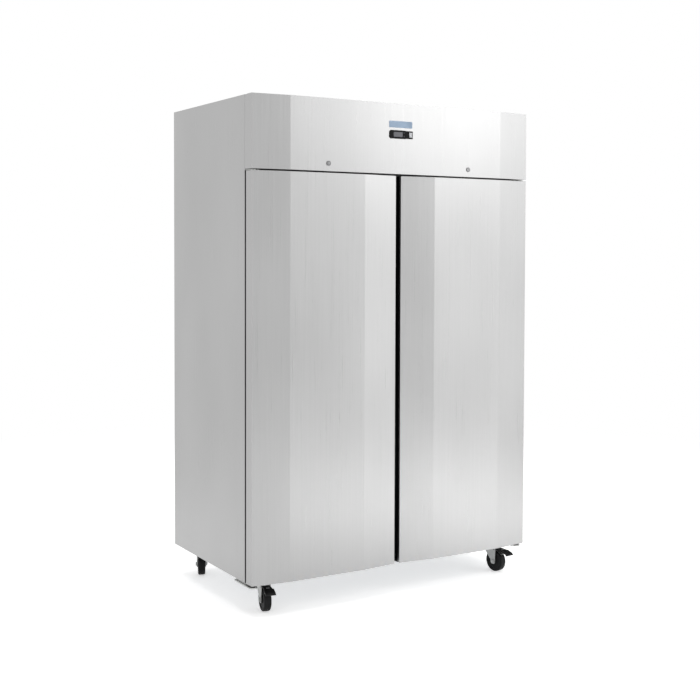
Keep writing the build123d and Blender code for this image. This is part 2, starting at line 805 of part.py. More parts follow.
def wire_shelf(z):
    """Welded wire shelf: a bar frame with a cross bar and a grid of lighter wires let into it."""
    x0, x1 = shelf_x0, shelf_x0 + shelf_width
    shelf = block(x0, x1, shelf_y0, shelf_y1, z, z + shelf_bar)
    shelf -= block(x0 + shelf_bar, x1 - shelf_bar, shelf_y0 + shelf_bar, shelf_y1 - shelf_bar,
                   z - 1, z + shelf_bar + 1)
    middle = (shelf_y0 + shelf_y1) / 2
    low = z + shelf_bar - shelf_wire
    shelf += block(x0 + shelf_bar, x1 - shelf_bar, middle - 3, middle + 3, z, low)
    inner = shelf_width - 2 * shelf_bar
    for x in spread(int(inner / shelf_wire_pitch), shelf_wire_pitch):
        x += (x0 + x1) / 2
        shelf += block(x - shelf_wire / 2, x + shelf_wire / 2, shelf_y0 + shelf_bar, shelf_y1 - shelf_bar,
                       low, low + shelf_wire)
    return shelf


def wire_shelves():
    """Three shelves in each bay."""
    left = [wire_shelf(z) for z in shelf_heights]
    return left + [mirrored(s) for s in left]


# Evaporator

cover_front = cavity_rear - cover_depth
cover_bottom = cavity_top - cover_height
fan_z = cavity_top - cover_height / 2 + 4.0
cover_rear = cavity_rear - liner_radius


def cover_profile(inset):
    """Side outline of the evaporator cover, its lower front edge cut back for the air."""
    top = cavity_top + (1 if inset else 0)
    rear = cover_rear + (1 if inset else 0)
    return [
        (cover_front + inset, top), (cover_front + inset, cover_bottom + cover_slope),
        (cover_front + cover_slope + inset * 0.6, cover_bottom + inset), (rear, cover_bottom + inset),
        (rear, top),
    ]


def evaporator_cover():
    """Folded cover under the ceiling with a barred opening for each fan and return slots below."""
    half, wall = cavity_half - cover_side_gap, 2 * sheet
    shell = side_profile(cover_profile(0), -half, half)
    shell -= side_profile(cover_profile(wall), -half + wall, half - wall)
    for x in fan_places():
        shell -= rod_y(evaporator_fan_radius + 4, x, fan_z, cover_front - 1, cover_front + wall + 1)
        shell += fan_guard(x)
    for x in spread(return_slots, return_slot_pitch):
        for y in (cover_rear - 80.0, cover_rear - 50.0):
            shell -= block(x - return_slot_length / 2, x + return_slot_length / 2, y - 6, y + 6,
                           cover_bottom - 1, cover_bottom + wall + 1)
    return shell


def fan_places():
    """Middles of the two evaporator fans along the cover."""
    return (-evaporator_fan_spacing / 2, evaporator_fan_spacing / 2)


def fan_guard(x):
    """Level bars across a fan's opening, stiffened by one upright bar."""
    reach = evaporator_fan_radius + 8
    guard = block(x - 2, x + 2, cover_front - 2, cover_front, fan_z - reach, fan_z + reach)
    for step in spread(7, 20.0):
        half = math.sqrt(reach * reach - step * step)
        z = fan_z + step
        guard += block(x - half, x + half, cover_front - 2, cover_front, z - 1.5, z + 1.5)
    return guard


def fan_wheel(x, z, y, radius, depth):
    """Axial fan facing the front: a hub with five pitched blades, its bore on the motor shaft."""
    hub, blades = radius * 0.3, 5
    fan = rod_y(hub, x, z, y, y + depth)
    root, tip = hub - 3, radius - 2
    outline = [(root, -9), (tip * 0.7, -0.34 * radius), (tip * 0.93, -0.3 * radius), (tip * 0.985, 0),
               (tip * 0.93, 0.34 * radius), (tip * 0.6, 0.22 * radius), (root, 9)]
    blade = extrude(Pos(0, 0, -1) * Polygon(*outline, align=None), amount=2.0, dir=(0, 0, 1))
    middle = Pos(x, y + depth / 2, z) * Rot(90, 0, 0)
    for i in range(blades):
        fan += middle * Rot(0, 0, i * 360.0 / blades) * Rot(28, 0, 0) * blade
    return fan - rod_y(shaft_radius + running_clearance, x, z, y + depth * 0.35, y + depth + 1)


def fan_motor(x, z, y, depth, radius, length):
    """Motor behind a fan, with its shaft reaching into the fan's hub."""
    motor = rod_y(radius, x, z, y + depth + 6, y + depth + 6 + length)
    return motor + rod_y(shaft_radius, x, z, y + depth * 0.4, y + depth + 6)


evaporator_fan_y = cover_front + 2 * sheet + 4


def evaporator_motors():
    """Both fan motors on straps that reach up to the ceiling of the cover."""
    solids = []
    for x in fan_places():
        motor = fan_motor(x, fan_z, evaporator_fan_y, evaporator_fan_depth, 24.0, 38.0)
        y = evaporator_fan_y + evaporator_fan_depth + 16
        strap = block(x - 12, x + 12, y, y + 16, fan_z, cavity_top)
        solids.append(motor + strap)
    return solids


def evaporator_coil():
    """Finned coil behind the fans, with end plates that hang from the ceiling."""
    y1 = cover_rear - 6.0
    y0 = y1 - coil_depth
    z1 = cavity_top - 12.0
    z0 = z1 - coil_height
    half = coil_width / 2
    coil = block(-half, half, y0, y1, z0, z1)
    for x in spread(10, coil_width / 10):
        coil -= block(x - 22, x + 22, y0 - 1, y0 + 5, z0 - 1, z1 + 1)
    for side in (-1, 1):
        x0, x1 = sorted((side * half, side * (half + 2)))
        coil += block(x0, x1, y0 - 6, y1 + 4, z0 - 6, cavity_top)
    return coil


def temperature_probe():
    """Air probe in its clip under the cover's return slots."""
    y = cavity_rear - 60.0
    bulb = hexagon_x(3.5, y, cover_bottom - 9.0, -20.0, 20.0)
    clip = block(-7.0, 7.0, y - 5, y + 5, cover_bottom - 14.0, cover_bottom)
    return bulb + clip


# Machine space

condenser_y0 = panel_front + condenser_setback
condenser_y1 = condenser_y0 + condenser_depth


def condenser_coil():
    """Condenser behind the header: finned block between folded end plates, with return bends."""
    half = condenser_width / 2
    z0 = machine_floor + 8.0
    y0, y1 = condenser_y0, condenser_y1
    coil = block(condenser_x - half, condenser_x + half, y0, y1, z0, z0 + condenser_height)
    for x in spread(6, condenser_width / 6):
        coil -= block(condenser_x + x - 25, condenser_x + x + 25, y0 - 1, y0 + 5,
                      z0 - 1, z0 + condenser_height + 1)
    for side in (-1, 1):
        x0, x1 = sorted((condenser_x + side * half, condenser_x + side * (half + 2)))
        coil += block(x0, x1, y0 - 6, y1 + 6, machine_floor, z0 + condenser_height + 4)
    end = condenser_x - half - 2
    middle = (y0 + y1) / 2
    for z in spread(5, condenser_height / 5):
        z += z0 + condenser_height / 2
        bend = [(end, middle - 16), (end - 8, middle - 16), (end - 14, middle - 10), (end - 14, middle + 10),
                (end - 8, middle + 16), (end, middle + 16), (end, middle + 8), (end - 6, middle + 8),
                (end - 6, middle - 8), (end, middle - 8)]
        coil += prism(bend, z - 4, z + 4)
    return coil


shroud_y = condenser_y1 + 6.0
condenser_fan_y = shroud_y + 12.0
condenser_fan_z = machine_floor + 8.0 + condenser_height / 2


def condenser_shroud():
    """Shroud plate behind the condenser with its fan opening."""
    half = condenser_width / 2
    z0, z1 = machine_floor, machine_floor + condenser_height + 8.0
    plate = block(condenser_x - half, condenser_x + half, shroud_y, shroud_y + 2, z0, z1)
    plate += block(condenser_x - half, condenser_x + half, shroud_y, shroud_y + 18, z1 - 2, z1)
    return plate - rod_y(condenser_fan_radius + 5, condenser_x, condenser_fan_z, shroud_y - 1, shroud_y + 3)


def condenser_motor():
    """Fan motor on a strut that stands on the tray."""
    motor = fan_motor(condenser_x, condenser_fan_z, condenser_fan_y, condenser_fan_depth, 36.0, 60.0)
    y = condenser_fan_y + condenser_fan_depth + 26.0
    strut = block(condenser_x - 20, condenser_x + 20, y, y + 24, machine_floor, condenser_fan_z)
    foot = block(condenser_x - 50, condenser_x + 50, y - 12, y + 36, machine_floor, machine_floor + 3)
    return motor + strut + foot


compressor_y = panel_front + compressor_setback


def compressor():
    """Hermetic compressor: a pressed can with a coned top on a foot plate with four rubber feet."""
    r, h = compressor_radius, compressor_height
    z = machine_floor + compressor_foot + 3
    shoulder = 0.78 * h
    shell = rod(r, compressor_x, compressor_y, z, z + shoulder)
    shell += Pos(compressor_x, compressor_y, z + (shoulder + h) / 2) * Cone(r - 3, r * 0.6, h - shoulder)
    reach_x, reach_y = r * 0.98, r * 0.61
    plate = Pos(compressor_x, compressor_y, z - 1.5) * Box(2 * reach_x, 2 * reach_y, 3)
    terminal = block(compressor_x + r * 0.9, compressor_x + r + 26, compressor_y - 26, compressor_y + 26,
                     z + h * 0.3, z + h * 0.62)
    feet = []
    for sx in (-1, 1):
        for sy in (-1, 1):
            x, y = compressor_x + sx * (reach_x - 14), compressor_y + sy * (reach_y - 14)
            feet.append(extrude(Pos(x, y, machine_floor) * RegularPolygon(12.0, 8), amount=compressor_foot))
    return [shell + plate + terminal] + feet


def elbow_pipe(start, corner, end, bend):
    """A pipe of two square runs with its corner cut across by a short run between mitres."""
    start, corner, end = Vector(start), Vector(corner), Vector(end)
    into, out = (corner - start).normalized(), (end - corner).normalized()
    path = Polyline(start, corner - into * bend, corner + out * bend, end)
    ring = Plane(origin=start, z_dir=into) * Circle(pipe_radius)
    return sweep(ring, path=path, transition=Transition.RIGHT)


def refrigerant_pipes():
    """Discharge pipe to the condenser, suction pipe up from the evaporator, and the filter drier."""
    z = machine_floor + compressor_foot + 3 + compressor_height * 0.35
    shell = compressor_radius
    bend = pipe_radius * 5
    cx = condenser_x + condenser_width / 2 + 2
    cy = (condenser_y0 + condenser_y1) / 2
    discharge = elbow_pipe((compressor_x, compressor_y - shell, z), (compressor_x, cy, z), (cx, cy, z), bend)
    x, y = compressor_x - shell - suction_reach, compressor_y
    suction = elbow_pipe((compressor_x - shell, y, z), (x, y, z), (x, y, machine_floor), bend)
    low = machine_floor + 24.0
    dx = condenser_x - condenser_width / 2 - drier_gap
    y0 = condenser_y1 + drier_setback
    y1 = y0 + drier_length
    drier = rod_y(16.0, dx, low, y0, y1) + rod_y(pipe_radius, dx, low, y0 - 20, y1 + 20)
    cradle = block(dx - 18, dx + 18, (y0 + y1) / 2 - 10, (y0 + y1) / 2 + 10, machine_floor, low)
    return [discharge, suction, drier + cradle]


box_x0 = half_width - box_side_gap
box_y0 = panel_front + box_setback


def electrical_box():
    """Closed box for the mains terminals and relays, with a raised lid and two glands to the left."""
    x1, y1 = box_x0 + box_width, box_y0 + box_depth
    z1 = machine_floor + box_height
    lid, screw = 3.0, 10.0
    box = block(box_x0, x1, box_y0, y1, machine_floor, z1)
    box += block(box_x0 - lid, x1 + lid, box_y0 - lid, y1 + lid, z1, z1 + screw)
    for x in (box_x0 + screw, x1 - screw):
        for y in (box_y0 + screw, y1 - screw):
            box += extrude(Pos(x, y, z1 + screw) * RegularPolygon(4.5, 6), amount=2)
    for y in (box_y0 + box_depth * 0.3, box_y0 + box_depth * 0.63):
        box += hexagon_x(10.0, y, machine_floor + box_height / 2, box_x0 - 12, box_x0)
    return box


def mains_gland():
    """Cable gland through the rear skin: hexagon flange inside, thread in the hole, flange outside."""
    inside = panel_rear - 2 * sheet
    bore = rod_y(gland_bore_radius, gland_x, gland_z, inside - gland_length, panel_rear + 1)
    body = rod_y(gland_hole_radius, gland_x, gland_z, inside - gland_length + 1, panel_rear - sheet)
    hexagon = Plane.XZ.offset(-inside) * Pos(gland_x, gland_z) * RegularPolygon(15.0, 6)
    flange = rod_y(14.0, gland_x, gland_z, panel_rear - sheet, panel_rear)
    return body + extrude(hexagon, amount=8.0, dir=(0, -1, 0)) + flange - bore


# Castors, drawn about their own swivel axis with the wheel to the front

def castor_plate():
    """Fixed plate with its bolts, the swivel bearing's housing and the kingpin with its nut."""
    top = castor_height
    low = top - castor_plate_thickness
    x, y = castor_plate_x / 2, castor_plate_y / 2
    outline = chamfer(Rectangle(2 * x, 2 * y).vertices(), 7)
    plate = extrude(Pos(0, 0, low) * outline, amount=castor_plate_thickness)
    for sx in (-1, 1):
        for sy in (-1, 1):
            head = Pos(sx * (x - 10), sy * (y - 10), low - 5) * RegularPolygon(6.5, 6)
            plate += extrude(head, amount=5)
    housing = rod(race_radius, 0, 0, fork_top + seat_clearance, low)
    kingpin = rod(kingpin_radius, 0, 0, fork_top - fork_wall - 1, low)
    nut_low = fork_top - fork_wall - 1 - kingpin_nut
    nut = extrude(Pos(0, 0, nut_low) * RegularPolygon(9.0, 6), amount=kingpin_nut)
    return plate + housing + kingpin + nut


fork_top = castor_height - castor_plate_thickness - bearing_height - seat_clearance
fork_inner = wheel_width / 2 + 2.5


def castor_fork():
    """Pressed fork: a deck under the bearing and two legs that lean forward to the axle."""
    deck_low = fork_top - fork_wall
    out = fork_inner + fork_wall
    fork = block(-out, out, -32, 26, deck_low, fork_top)
    heel, toe = -castor_trail + fork_boss, -castor_trail - fork_boss
    low = wheel_radius - fork_boss
    leg_points = [(-32, fork_top), (26, fork_top), (22, deck_low - 12), (heel, wheel_radius + 4),
                  (heel - 1, low + 5), (heel - 6, low), (toe + 6, low), (toe + 1, low + 5),
                  (toe, wheel_radius), (toe - 2, deck_low - 16), (toe, deck_low - 5)]
    for side in (-1, 1):
        x0, x1 = sorted((side * fork_inner, side * out))
        fork += side_profile(leg_points, x0, x1)
    fork -= rod(kingpin_radius + seat_clearance, 0, 0, deck_low - 1, fork_top + 1)
    axle = rod_x(axle_radius, -castor_trail, wheel_radius, -fork_inner, fork_inner)
    for x0, x1 in ((-out - 5.0, -out), (out, out + 5.0)):
        fork += hexagon_x(8.5, -castor_trail, wheel_radius, x0, x1)
    return fork + axle


def castor_wheel():
    """Wheel with flat cheeks and a boss that spaces it in the fork."""
    at = Pos(0, -castor_trail, wheel_radius)
    half, boss = wheel_width / 2, fork_inner - seat_clearance
    wheel = rod_x(wheel_radius, 0, 0, -half, half) + rod_x(hub_radius, 0, 0, -boss, boss)
    return at * (wheel - rod_x(axle_radius + running_clearance, 0, 0, -boss - 1, boss + 1))


pedal_pivot_z = wheel_radius + 51.0


def brake_pedal():
    """Foot lever between the legs with its pad over the wheel's front, stored pressed on."""
    y, z = pedal_pivot_y, pedal_pivot_z
    tread = [(y - 44, z + 3), (y - 70, z - 5), (y - 80, z - 13), (y - 77, z - 15), (y - 68, z - 8.5),
             (y - 44, z - 1)]
    heel = [(y - 14, z + 0.5), (y - 5, z - 3), (y + 5, z - 3), (y + 5, z + 4), (y - 16, z + 5)]
    arm = side_profile(tread + heel, -fork_inner + 1, fork_inner - 1)
    pad = side_profile(tread, -pedal_width / 2, pedal_width / 2)
    pin = rod_x(pedal_pin_radius, y, z, -fork_inner - fork_wall, fork_inner + fork_wall)
    return arm + pad + pin


def pedal_holes(fork):
    """Holes in the legs for the pedal's pin."""
    out = fork_inner + fork_wall + 1
    return fork - rod_x(pedal_pin_radius + running_clearance, pedal_pivot_y, pedal_pivot_z, -out, out)


castor_x = half_width - castor_side_inset
castor_front_y = panel_front + castor_front_inset
castor_rear_y = panel_rear - castor_rear_inset
castor_places = {
    "front_left": (-castor_x, castor_front_y, -11.0),
    "front_right": (castor_x, castor_front_y, 8.0),
    "rear_left": (-castor_x, castor_rear_y, -21.0),
    "rear_right": (castor_x, castor_rear_y, 10.0),
}


def castors():
    """Write the four castors, each turned to the way it was left."""
    plates = []
    for name, (x, y, heading) in castor_places.items():
        spot = Pos(x, y, 0)
        turned = spot * Rot(0, 0, heading)
        plates.append(spot * castor_plate())
        fork = castor_fork()
        if name.startswith("front"):
            fork = pedal_holes(fork)
            save(f"castor_{name}_pedal", turned * brake_pedal())
        save(f"castor_{name}_fork", turned * fork)
        save(f"castor_{name}_wheel", turned * castor_wheel())
    save("castor_plates", plates)


def doors():
    """Write both doors; the right one is the left one mirrored."""
    pieces = {
        "skin": door_skin(),
        "core": [door_core()],
        "inner_pan": [door_liner()],
        "grip": [door_grip()],
        "gasket": [door_gasket()],
        "fittings": door_fittings(),
    }
    for piece, solids in pieces.items():
        save(f"door_left_{piece}", solids)
        save(f"door_right_{piece}", [mirrored(s) for s in solids])


def main():
    os.makedirs("parts", exist_ok=True)
    left = side_panel()
    save("left_side_panel", left)
    save("right_side_panel", mirrored(left))
    save("rear_panel", rear_panel())
    save("rear_grille", rear_grille())
    save("roof_cover", roof_cover())
    save("roof_tray", roof_tray())
    save("base_pan", base_pan())
    save("insulation", insulation())
    save("inner_liner", inner_liner())
    save("front_frame", front_frame())
    save("mullion", mullion())
    doors()
    brackets = [hinge_bracket_bottom(), hinge_bracket_top()]
    save("hinge_brackets", brackets + [mirrored(b) for b in brackets] + fascia_ears())
    save("header_fascia", fascia_panel())
    save("controller", controller())
    save("controller_display", controller_display())
    save("controller_key_up", controller_key(key_offset))
    save("controller_key_down", controller_key(-key_offset))
    save("rocker_housing", rocker_housing())
    save("power_rocker", power_rocker())
    save("lock_bodies", [lock_body(lock_x), lock_body(-lock_x)])
    save("lock_cylinder_left", lock_cylinder(lock_x, 1))
    save("lock_cylinder_right", lock_cylinder(-lock_x, -1))
    save("shelf_uprights", shelf_uprights())
    save("shelf_runners", shelf_runners())
    save("wire_shelves", wire_shelves())
    save("evaporator_cover", evaporator_cover())
    save("evaporator_coil", evaporator_coil())
    for name, x in zip(("left", "right"), fan_places()):
        fan = fan_wheel(x, fan_z, evaporator_fan_y, evaporator_fan_radius, evaporator_fan_depth)
        save(f"evaporator_fan_{name}", fan)
    save("temperature_probe", temperature_probe())
    save("condenser_coil", [condenser_coil(), condenser_shroud()])
    save("fan_motors", evaporator_motors() + [condenser_motor()])
    save("condenser_fan", fan_wheel(condenser_x, condenser_fan_z, condenser_fan_y, condenser_fan_radius,
                                    condenser_fan_depth))
    save("compressor", compressor())
    save("refrigerant_pipes", refrigerant_pipes())
    save("electrical_box", electrical_box())
    save("mains_gland", mains_gland())
    castors()


main()
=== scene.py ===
import json
import math

import bmesh
import bpy
from mathutils import Matrix, Vector


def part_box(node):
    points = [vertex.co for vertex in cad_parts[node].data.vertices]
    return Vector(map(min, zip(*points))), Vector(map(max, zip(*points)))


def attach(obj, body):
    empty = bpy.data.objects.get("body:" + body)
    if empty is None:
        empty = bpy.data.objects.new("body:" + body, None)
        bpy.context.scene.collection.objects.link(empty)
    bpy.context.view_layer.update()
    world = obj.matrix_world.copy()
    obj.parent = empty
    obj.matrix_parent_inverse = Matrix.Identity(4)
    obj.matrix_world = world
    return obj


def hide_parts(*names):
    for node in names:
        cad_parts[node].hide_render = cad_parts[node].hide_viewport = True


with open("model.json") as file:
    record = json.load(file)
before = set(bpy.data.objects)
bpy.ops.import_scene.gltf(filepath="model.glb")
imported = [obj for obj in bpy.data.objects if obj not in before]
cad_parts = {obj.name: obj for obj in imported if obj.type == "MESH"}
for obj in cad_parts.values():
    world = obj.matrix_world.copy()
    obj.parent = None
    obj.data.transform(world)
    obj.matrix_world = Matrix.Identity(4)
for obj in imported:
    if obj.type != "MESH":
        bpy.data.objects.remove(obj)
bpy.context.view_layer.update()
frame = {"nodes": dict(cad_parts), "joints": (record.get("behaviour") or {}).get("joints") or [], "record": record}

nodes = frame["nodes"]
bpy.ops.object.select_all(action="DESELECT")


# Materials

def linear(hexColour):
    # an sRGB hex value as linear red, green, blue, alpha
    parts = [int(hexColour[i:i + 2], 16) / 255 for i in (1, 3, 5)]
    return tuple(p / 12.92 if p <= 0.04045 else ((p + 0.055) / 1.055) ** 2.4 for p in parts) + (1.0,)


def addNode(tree, kind, settings=None, inputs=None, links=None):
    # one node with its settings, its fixed socket values and its incoming links
    node = tree.nodes.new(kind)
    for key, value in (settings or {}).items():
        setattr(node, key, value)
    for key, value in (inputs or {}).items():
        node.inputs[key].default_value = value
    for key, source in (links or {}).items():
        tree.links.new(source, node.inputs[key])
    return node


def newMaterial(name, hexColour, roughness, metallic=0.0, ior=None):
    material = bpy.data.materials.new(name)
    material.use_nodes = True
    tree = material.node_tree
    shader = tree.nodes["Principled BSDF"]
    shader.inputs["Base Color"].default_value = linear(hexColour)
    shader.inputs["Roughness"].default_value = roughness
    shader.inputs["Metallic"].default_value = metallic
    if ior:
        shader.inputs["IOR"].default_value = ior
    material.diffuse_color = linear(hexColour)
    return material, tree, shader


def placedPattern(tree, sizeMm):
    # object coordinates in metres divided by the pattern's real size along each axis
    coords = addNode(tree, "ShaderNodeTexCoord")
    scale = [1000 / s for s in sizeMm]
    return addNode(tree, "ShaderNodeMapping", inputs={"Scale": scale},
                   links={"Vector": coords.outputs["Object"]})


# a noise texture seldom leaves this part of 0 to 1
noiseLow, noiseHigh = 0.3, 0.7


def tintBetween(tree, shader, factor, darkHex, lightHex, start=noiseLow, end=noiseHigh):
    ramp = addNode(tree, "ShaderNodeValToRGB", links={"Fac": factor})
    ramp.color_ramp.elements[0].position = start
    ramp.color_ramp.elements[1].position = end
    ramp.color_ramp.elements[0].color = linear(darkHex)
    ramp.color_ramp.elements[1].color = linear(lightHex)
    tree.links.new(ramp.outputs["Color"], shader.inputs["Base Color"])


def roughnessBetween(tree, shader, factor, low, high):
    spread = addNode(tree, "ShaderNodeMapRange",
                     inputs={"From Min": noiseLow, "From Max": noiseHigh, "To Min": low, "To Max": high},
                     links={"Value": factor})
    tree.links.new(spread.outputs["Result"], shader.inputs["Roughness"])


def bumpFrom(tree, shader, heights):
    # heights is a list of (factor output, height in mm), stacked into one normal
    normal = None
    for factor, heightMm in heights:
        bump = addNode(tree, "ShaderNodeBump", inputs={"Strength": 1.0, "Distance": heightMm / 1000},
                       links={"Height": factor})
        if normal:
            tree.links.new(normal, bump.inputs["Normal"])
        normal = bump.outputs["Normal"]
    tree.links.new(normal, shader.inputs["Normal"])


# brushed 304 sheet: satin, with fine grain up the sheet and faint waves where it was folded and handled
steel = {"dark": "#aaaaaa", "light": "#b4b4b4", "low": 0.27, "high": 0.36, "grainMm": (2.5, 2.5, 420.0),
         "cloudMm": (320.0, 320.0, 520.0), "grainHeight": 0.007, "waveHeight": 0.35}


def brushedSteel(name, dark, light, low, high, grainMm, cloudMm, grainHeight, waveHeight):
    material, tree, shader = newMaterial(name, light, low, metallic=1.0)
    # the real grain is about 0.2 mm, drawn coarser so that it shows at this size
    grain = addNode(tree, "ShaderNodeTexNoise", inputs={"Scale": 1.0, "Detail": 4.0, "Roughness": 0.6},
                    links={"Vector": placedPattern(tree, grainMm).outputs["Vector"]})
    cloud = addNode(tree, "ShaderNodeTexNoise", inputs={"Scale": 1.0, "Detail": 1.5, "Roughness": 0.4},
                    links={"Vector": placedPattern(tree, cloudMm).outputs["Vector"]})
    # the colour follows half the grain and half the cloud
    mixed = addNode(tree, "ShaderNodeMath", {"operation": "MULTIPLY_ADD"}, {1: 0.5},
                    {0: grain.outputs["Fac"]})
    half = addNode(tree, "ShaderNodeMath", {"operation": "MULTIPLY"}, {1: 0.5}, {0: cloud.outputs["Fac"]})
    tree.links.new(half.outputs[0], mixed.inputs[2])
    tintBetween(tree, shader, mixed.outputs[0], dark, light)
    roughnessBetween(tree, shader, grain.outputs["Fac"], low, high)
    bumpFrom(tree, shader, [(cloud.outputs["Fac"], waveHeight), (grain.outputs["Fac"], grainHeight)])
    return material


def steelLike(name, dark, light, **changes):
    # the same brushed metal in another colour and, where given, with another grain
    return brushedSteel(name, **{**steel, "dark": dark, "light": light, **changes})


# moulded plastics and painted metal: a fine texture from the tool or the spray
plastic = {"patchMm": (60.0, 60.0, 60.0), "roughnessSpread": 0.06}


def mouldedPlastic(name, dark, light, roughness, grainMm=1.6, height=0.03, metallic=0.0, ior=1.49):
    material, tree, shader = newMaterial(name, light, roughness, metallic, ior)
    grain = addNode(tree, "ShaderNodeTexNoise", inputs={"Scale": 1.0, "Detail": 3.0},
                    links={"Vector": placedPattern(tree, (grainMm,) * 3).outputs["Vector"]})
    patch = addNode(tree, "ShaderNodeTexNoise", inputs={"Scale": 1.0, "Detail": 2.0},
                    links={"Vector": placedPattern(tree, plastic["patchMm"]).outputs["Vector"]})
    tintBetween(tree, shader, patch.outputs["Fac"], dark, light)
    spread = plastic["roughnessSpread"]
    roughnessBetween(tree, shader, grain.outputs["Fac"], roughness - spread, roughness + spread)
    bumpFrom(tree, shader, [(grain.outputs["Fac"], height)])
    return material


# hot-dip galvanised sheet: dull grey with a spangle of zinc crystals about 12 mm across
zinc = {"spangleMm": (12.0, 12.0, 12.0), "fineMm": (3.0, 3.0, 3.0), "roughness": 0.4, "low": 0.34,
        "high": 0.5, "fineHeight": 0.02}


def galvanisedSheet(name, dark, light):
    material, tree, shader = newMaterial(name, light, zinc["roughness"], metallic=1.0)
    spangle = addNode(tree, "ShaderNodeTexVoronoi", inputs={"Scale": 1.0},
                      links={"Vector": placedPattern(tree, zinc["spangleMm"]).outputs["Vector"]})
    tone = addNode(tree, "ShaderNodeSeparateColor", links={"Color": spangle.outputs["Color"]})
    fine = addNode(tree, "ShaderNodeTexNoise", inputs={"Scale": 1.0, "Detail": 3.0},
                   links={"Vector": placedPattern(tree, zinc["fineMm"]).outputs["Vector"]})
    tintBetween(tree, shader, tone.outputs["Red"], dark, light, start=0.0, end=1.0)
    roughnessBetween(tree, shader, fine.outputs["Fac"], zinc["low"], zinc["high"])
    bumpFrom(tree, shader, [(fine.outputs["Fac"], zinc["fineHeight"])])
    return material


finishes = {
    # long soft streaks of light down the doors, header and sides
    "stainless": brushedSteel("brushedStainlessSheet", **steel),
    # paler and calmer than the doors, so that the inside looks clean
    "linerSteel": steelLike("satinLinerSheet", "#c3c3c3", "#cccccc", waveHeight=0.15, grainHeight=0.003),
    # mottled dull grey that tells back and roof from the brushed front
    "galvanised": galvanisedSheet("galvanisedSheet", "#a6a9ac", "#b6b9bc"),
    # even shine on brackets, forks and screws
    "zincPlated": steelLike("zincPlatedSteel", "#a5a6a4", "#bdbebd", grainMm=(5.0, 5.0, 5.0),
                            waveHeight=0.02),
    # dark rings that set the locks off from the header
    "nickel": steelLike("satinNickelPlate", "#6a6a6b", "#7c7c7d", grainMm=(1.5, 1.5, 1.5), waveHeight=0.0,
                        grainHeight=0.004),
    # lighter turning cores inside those rings
    "brightNickel": steelLike("brightNickelPlate", "#868687", "#949495", grainMm=(1.5, 1.5, 1.5),
                              waveHeight=0.0, grainHeight=0.004),
    # mid grey behind the doors, darker than the real frame: painted shade, dark enough for the gaps to read as
    # black
    "framePlasticGapShade": mouldedPlastic("extrudedFramePvcGapShade", "#7d8082", "#868a8c", 0.42),
    # near black with a dull gleam along its edges
    "blackPlastic": mouldedPlastic("blackMouldedAbs", "#070708", "#0c0c0d", 0.5, ior=1.3),
    # the darkest face on the header, almost without shine
    "controllerBlack": mouldedPlastic("blackControllerCase", "#050506", "#09090a", 0.55, ior=1.25,
                                      height=0.01),
    # swallows the light along the doors' free edges
    "gripPlastic": mouldedPlastic("matteBlackGripProfile", "#030304", "#060607", 0.7, ior=1.2),
    # a quiet grey box in the machine space
    "greyPlastic": mouldedPlastic("greyBoxAbs", "#6b6e70", "#777a7c", 0.45),
    # small pale spots: the rocker and the pedal bars
    "keyPlastic": mouldedPlastic("paleKeyPolycarbonate", "#b9bbbe", "#c6c8cb", 0.4, height=0.01),
    # keys that just stand out from the black case
    "keyGrey": mouldedPlastic("darkKeySilicone", "#3a3a3e", "#434347", 0.5, ior=1.35, height=0.01),
    # a black line round each door with hardly any gleam
    "gasketRubber": mouldedPlastic("gasketVinyl", "#0b0b0c", "#111112", 0.6, ior=1.3),
    # warm dry yellow, seen only where a skin is taken off
    "foam": mouldedPlastic("polyurethaneFoam", "#c9b67c", "#d9c890", 0.9, grainMm=4.0, height=0.4),
    # pale grey wires with the soft gleam of a plastic coat
    "coatedWire": mouldedPlastic("coatedShelfWire", "#a7a9ac", "#b4b6b9", 0.35, height=0.01),
    # whiter and softer than the steel, with a sheen along the rolling
    "aluminium": steelLike("rolledAluminium", "#c9cacb", "#d4d5d6", low=0.32, high=0.44, waveHeight=0.1),
    # the only warm metal, which picks out the pipes
    "copper": steelLike("drawnCopperTube", "#a9653e", "#c07a4e", grainMm=(8.0, 8.0, 8.0), waveHeight=0.0),
    # black paint with small highlights that show the can's roundness
    "blackEnamel": mouldedPlastic("blackCompressorPaint", "#0c0c0e", "#141416", 0.32, grainMm=3.0,
                                  height=0.05),
    # dull black treads and cheeks
    "wheelBlack": mouldedPlastic("blackWheelNylon", "#070708", "#0c0c0e", 0.55, ior=1.3),
    # a grey window, glossier than the case round it
    "lens": mouldedPlastic("displayLensAcrylic", "#5b5b60", "#66666b", 0.2, ior=1.35, height=0.002),
    # a plain flat blue
    "badgeBlue": mouldedPlastic("plainBadgeEnamel", "#8499b0", "#90a5bc", 0.3, height=0.004),
}
print("materials made:", len(finishes))


# Finish of each CAD node

corners = ("front_left", "front_right", "rear_left", "rear_right")


def both(pattern):
    return [pattern % side for side in ("left", "right")]


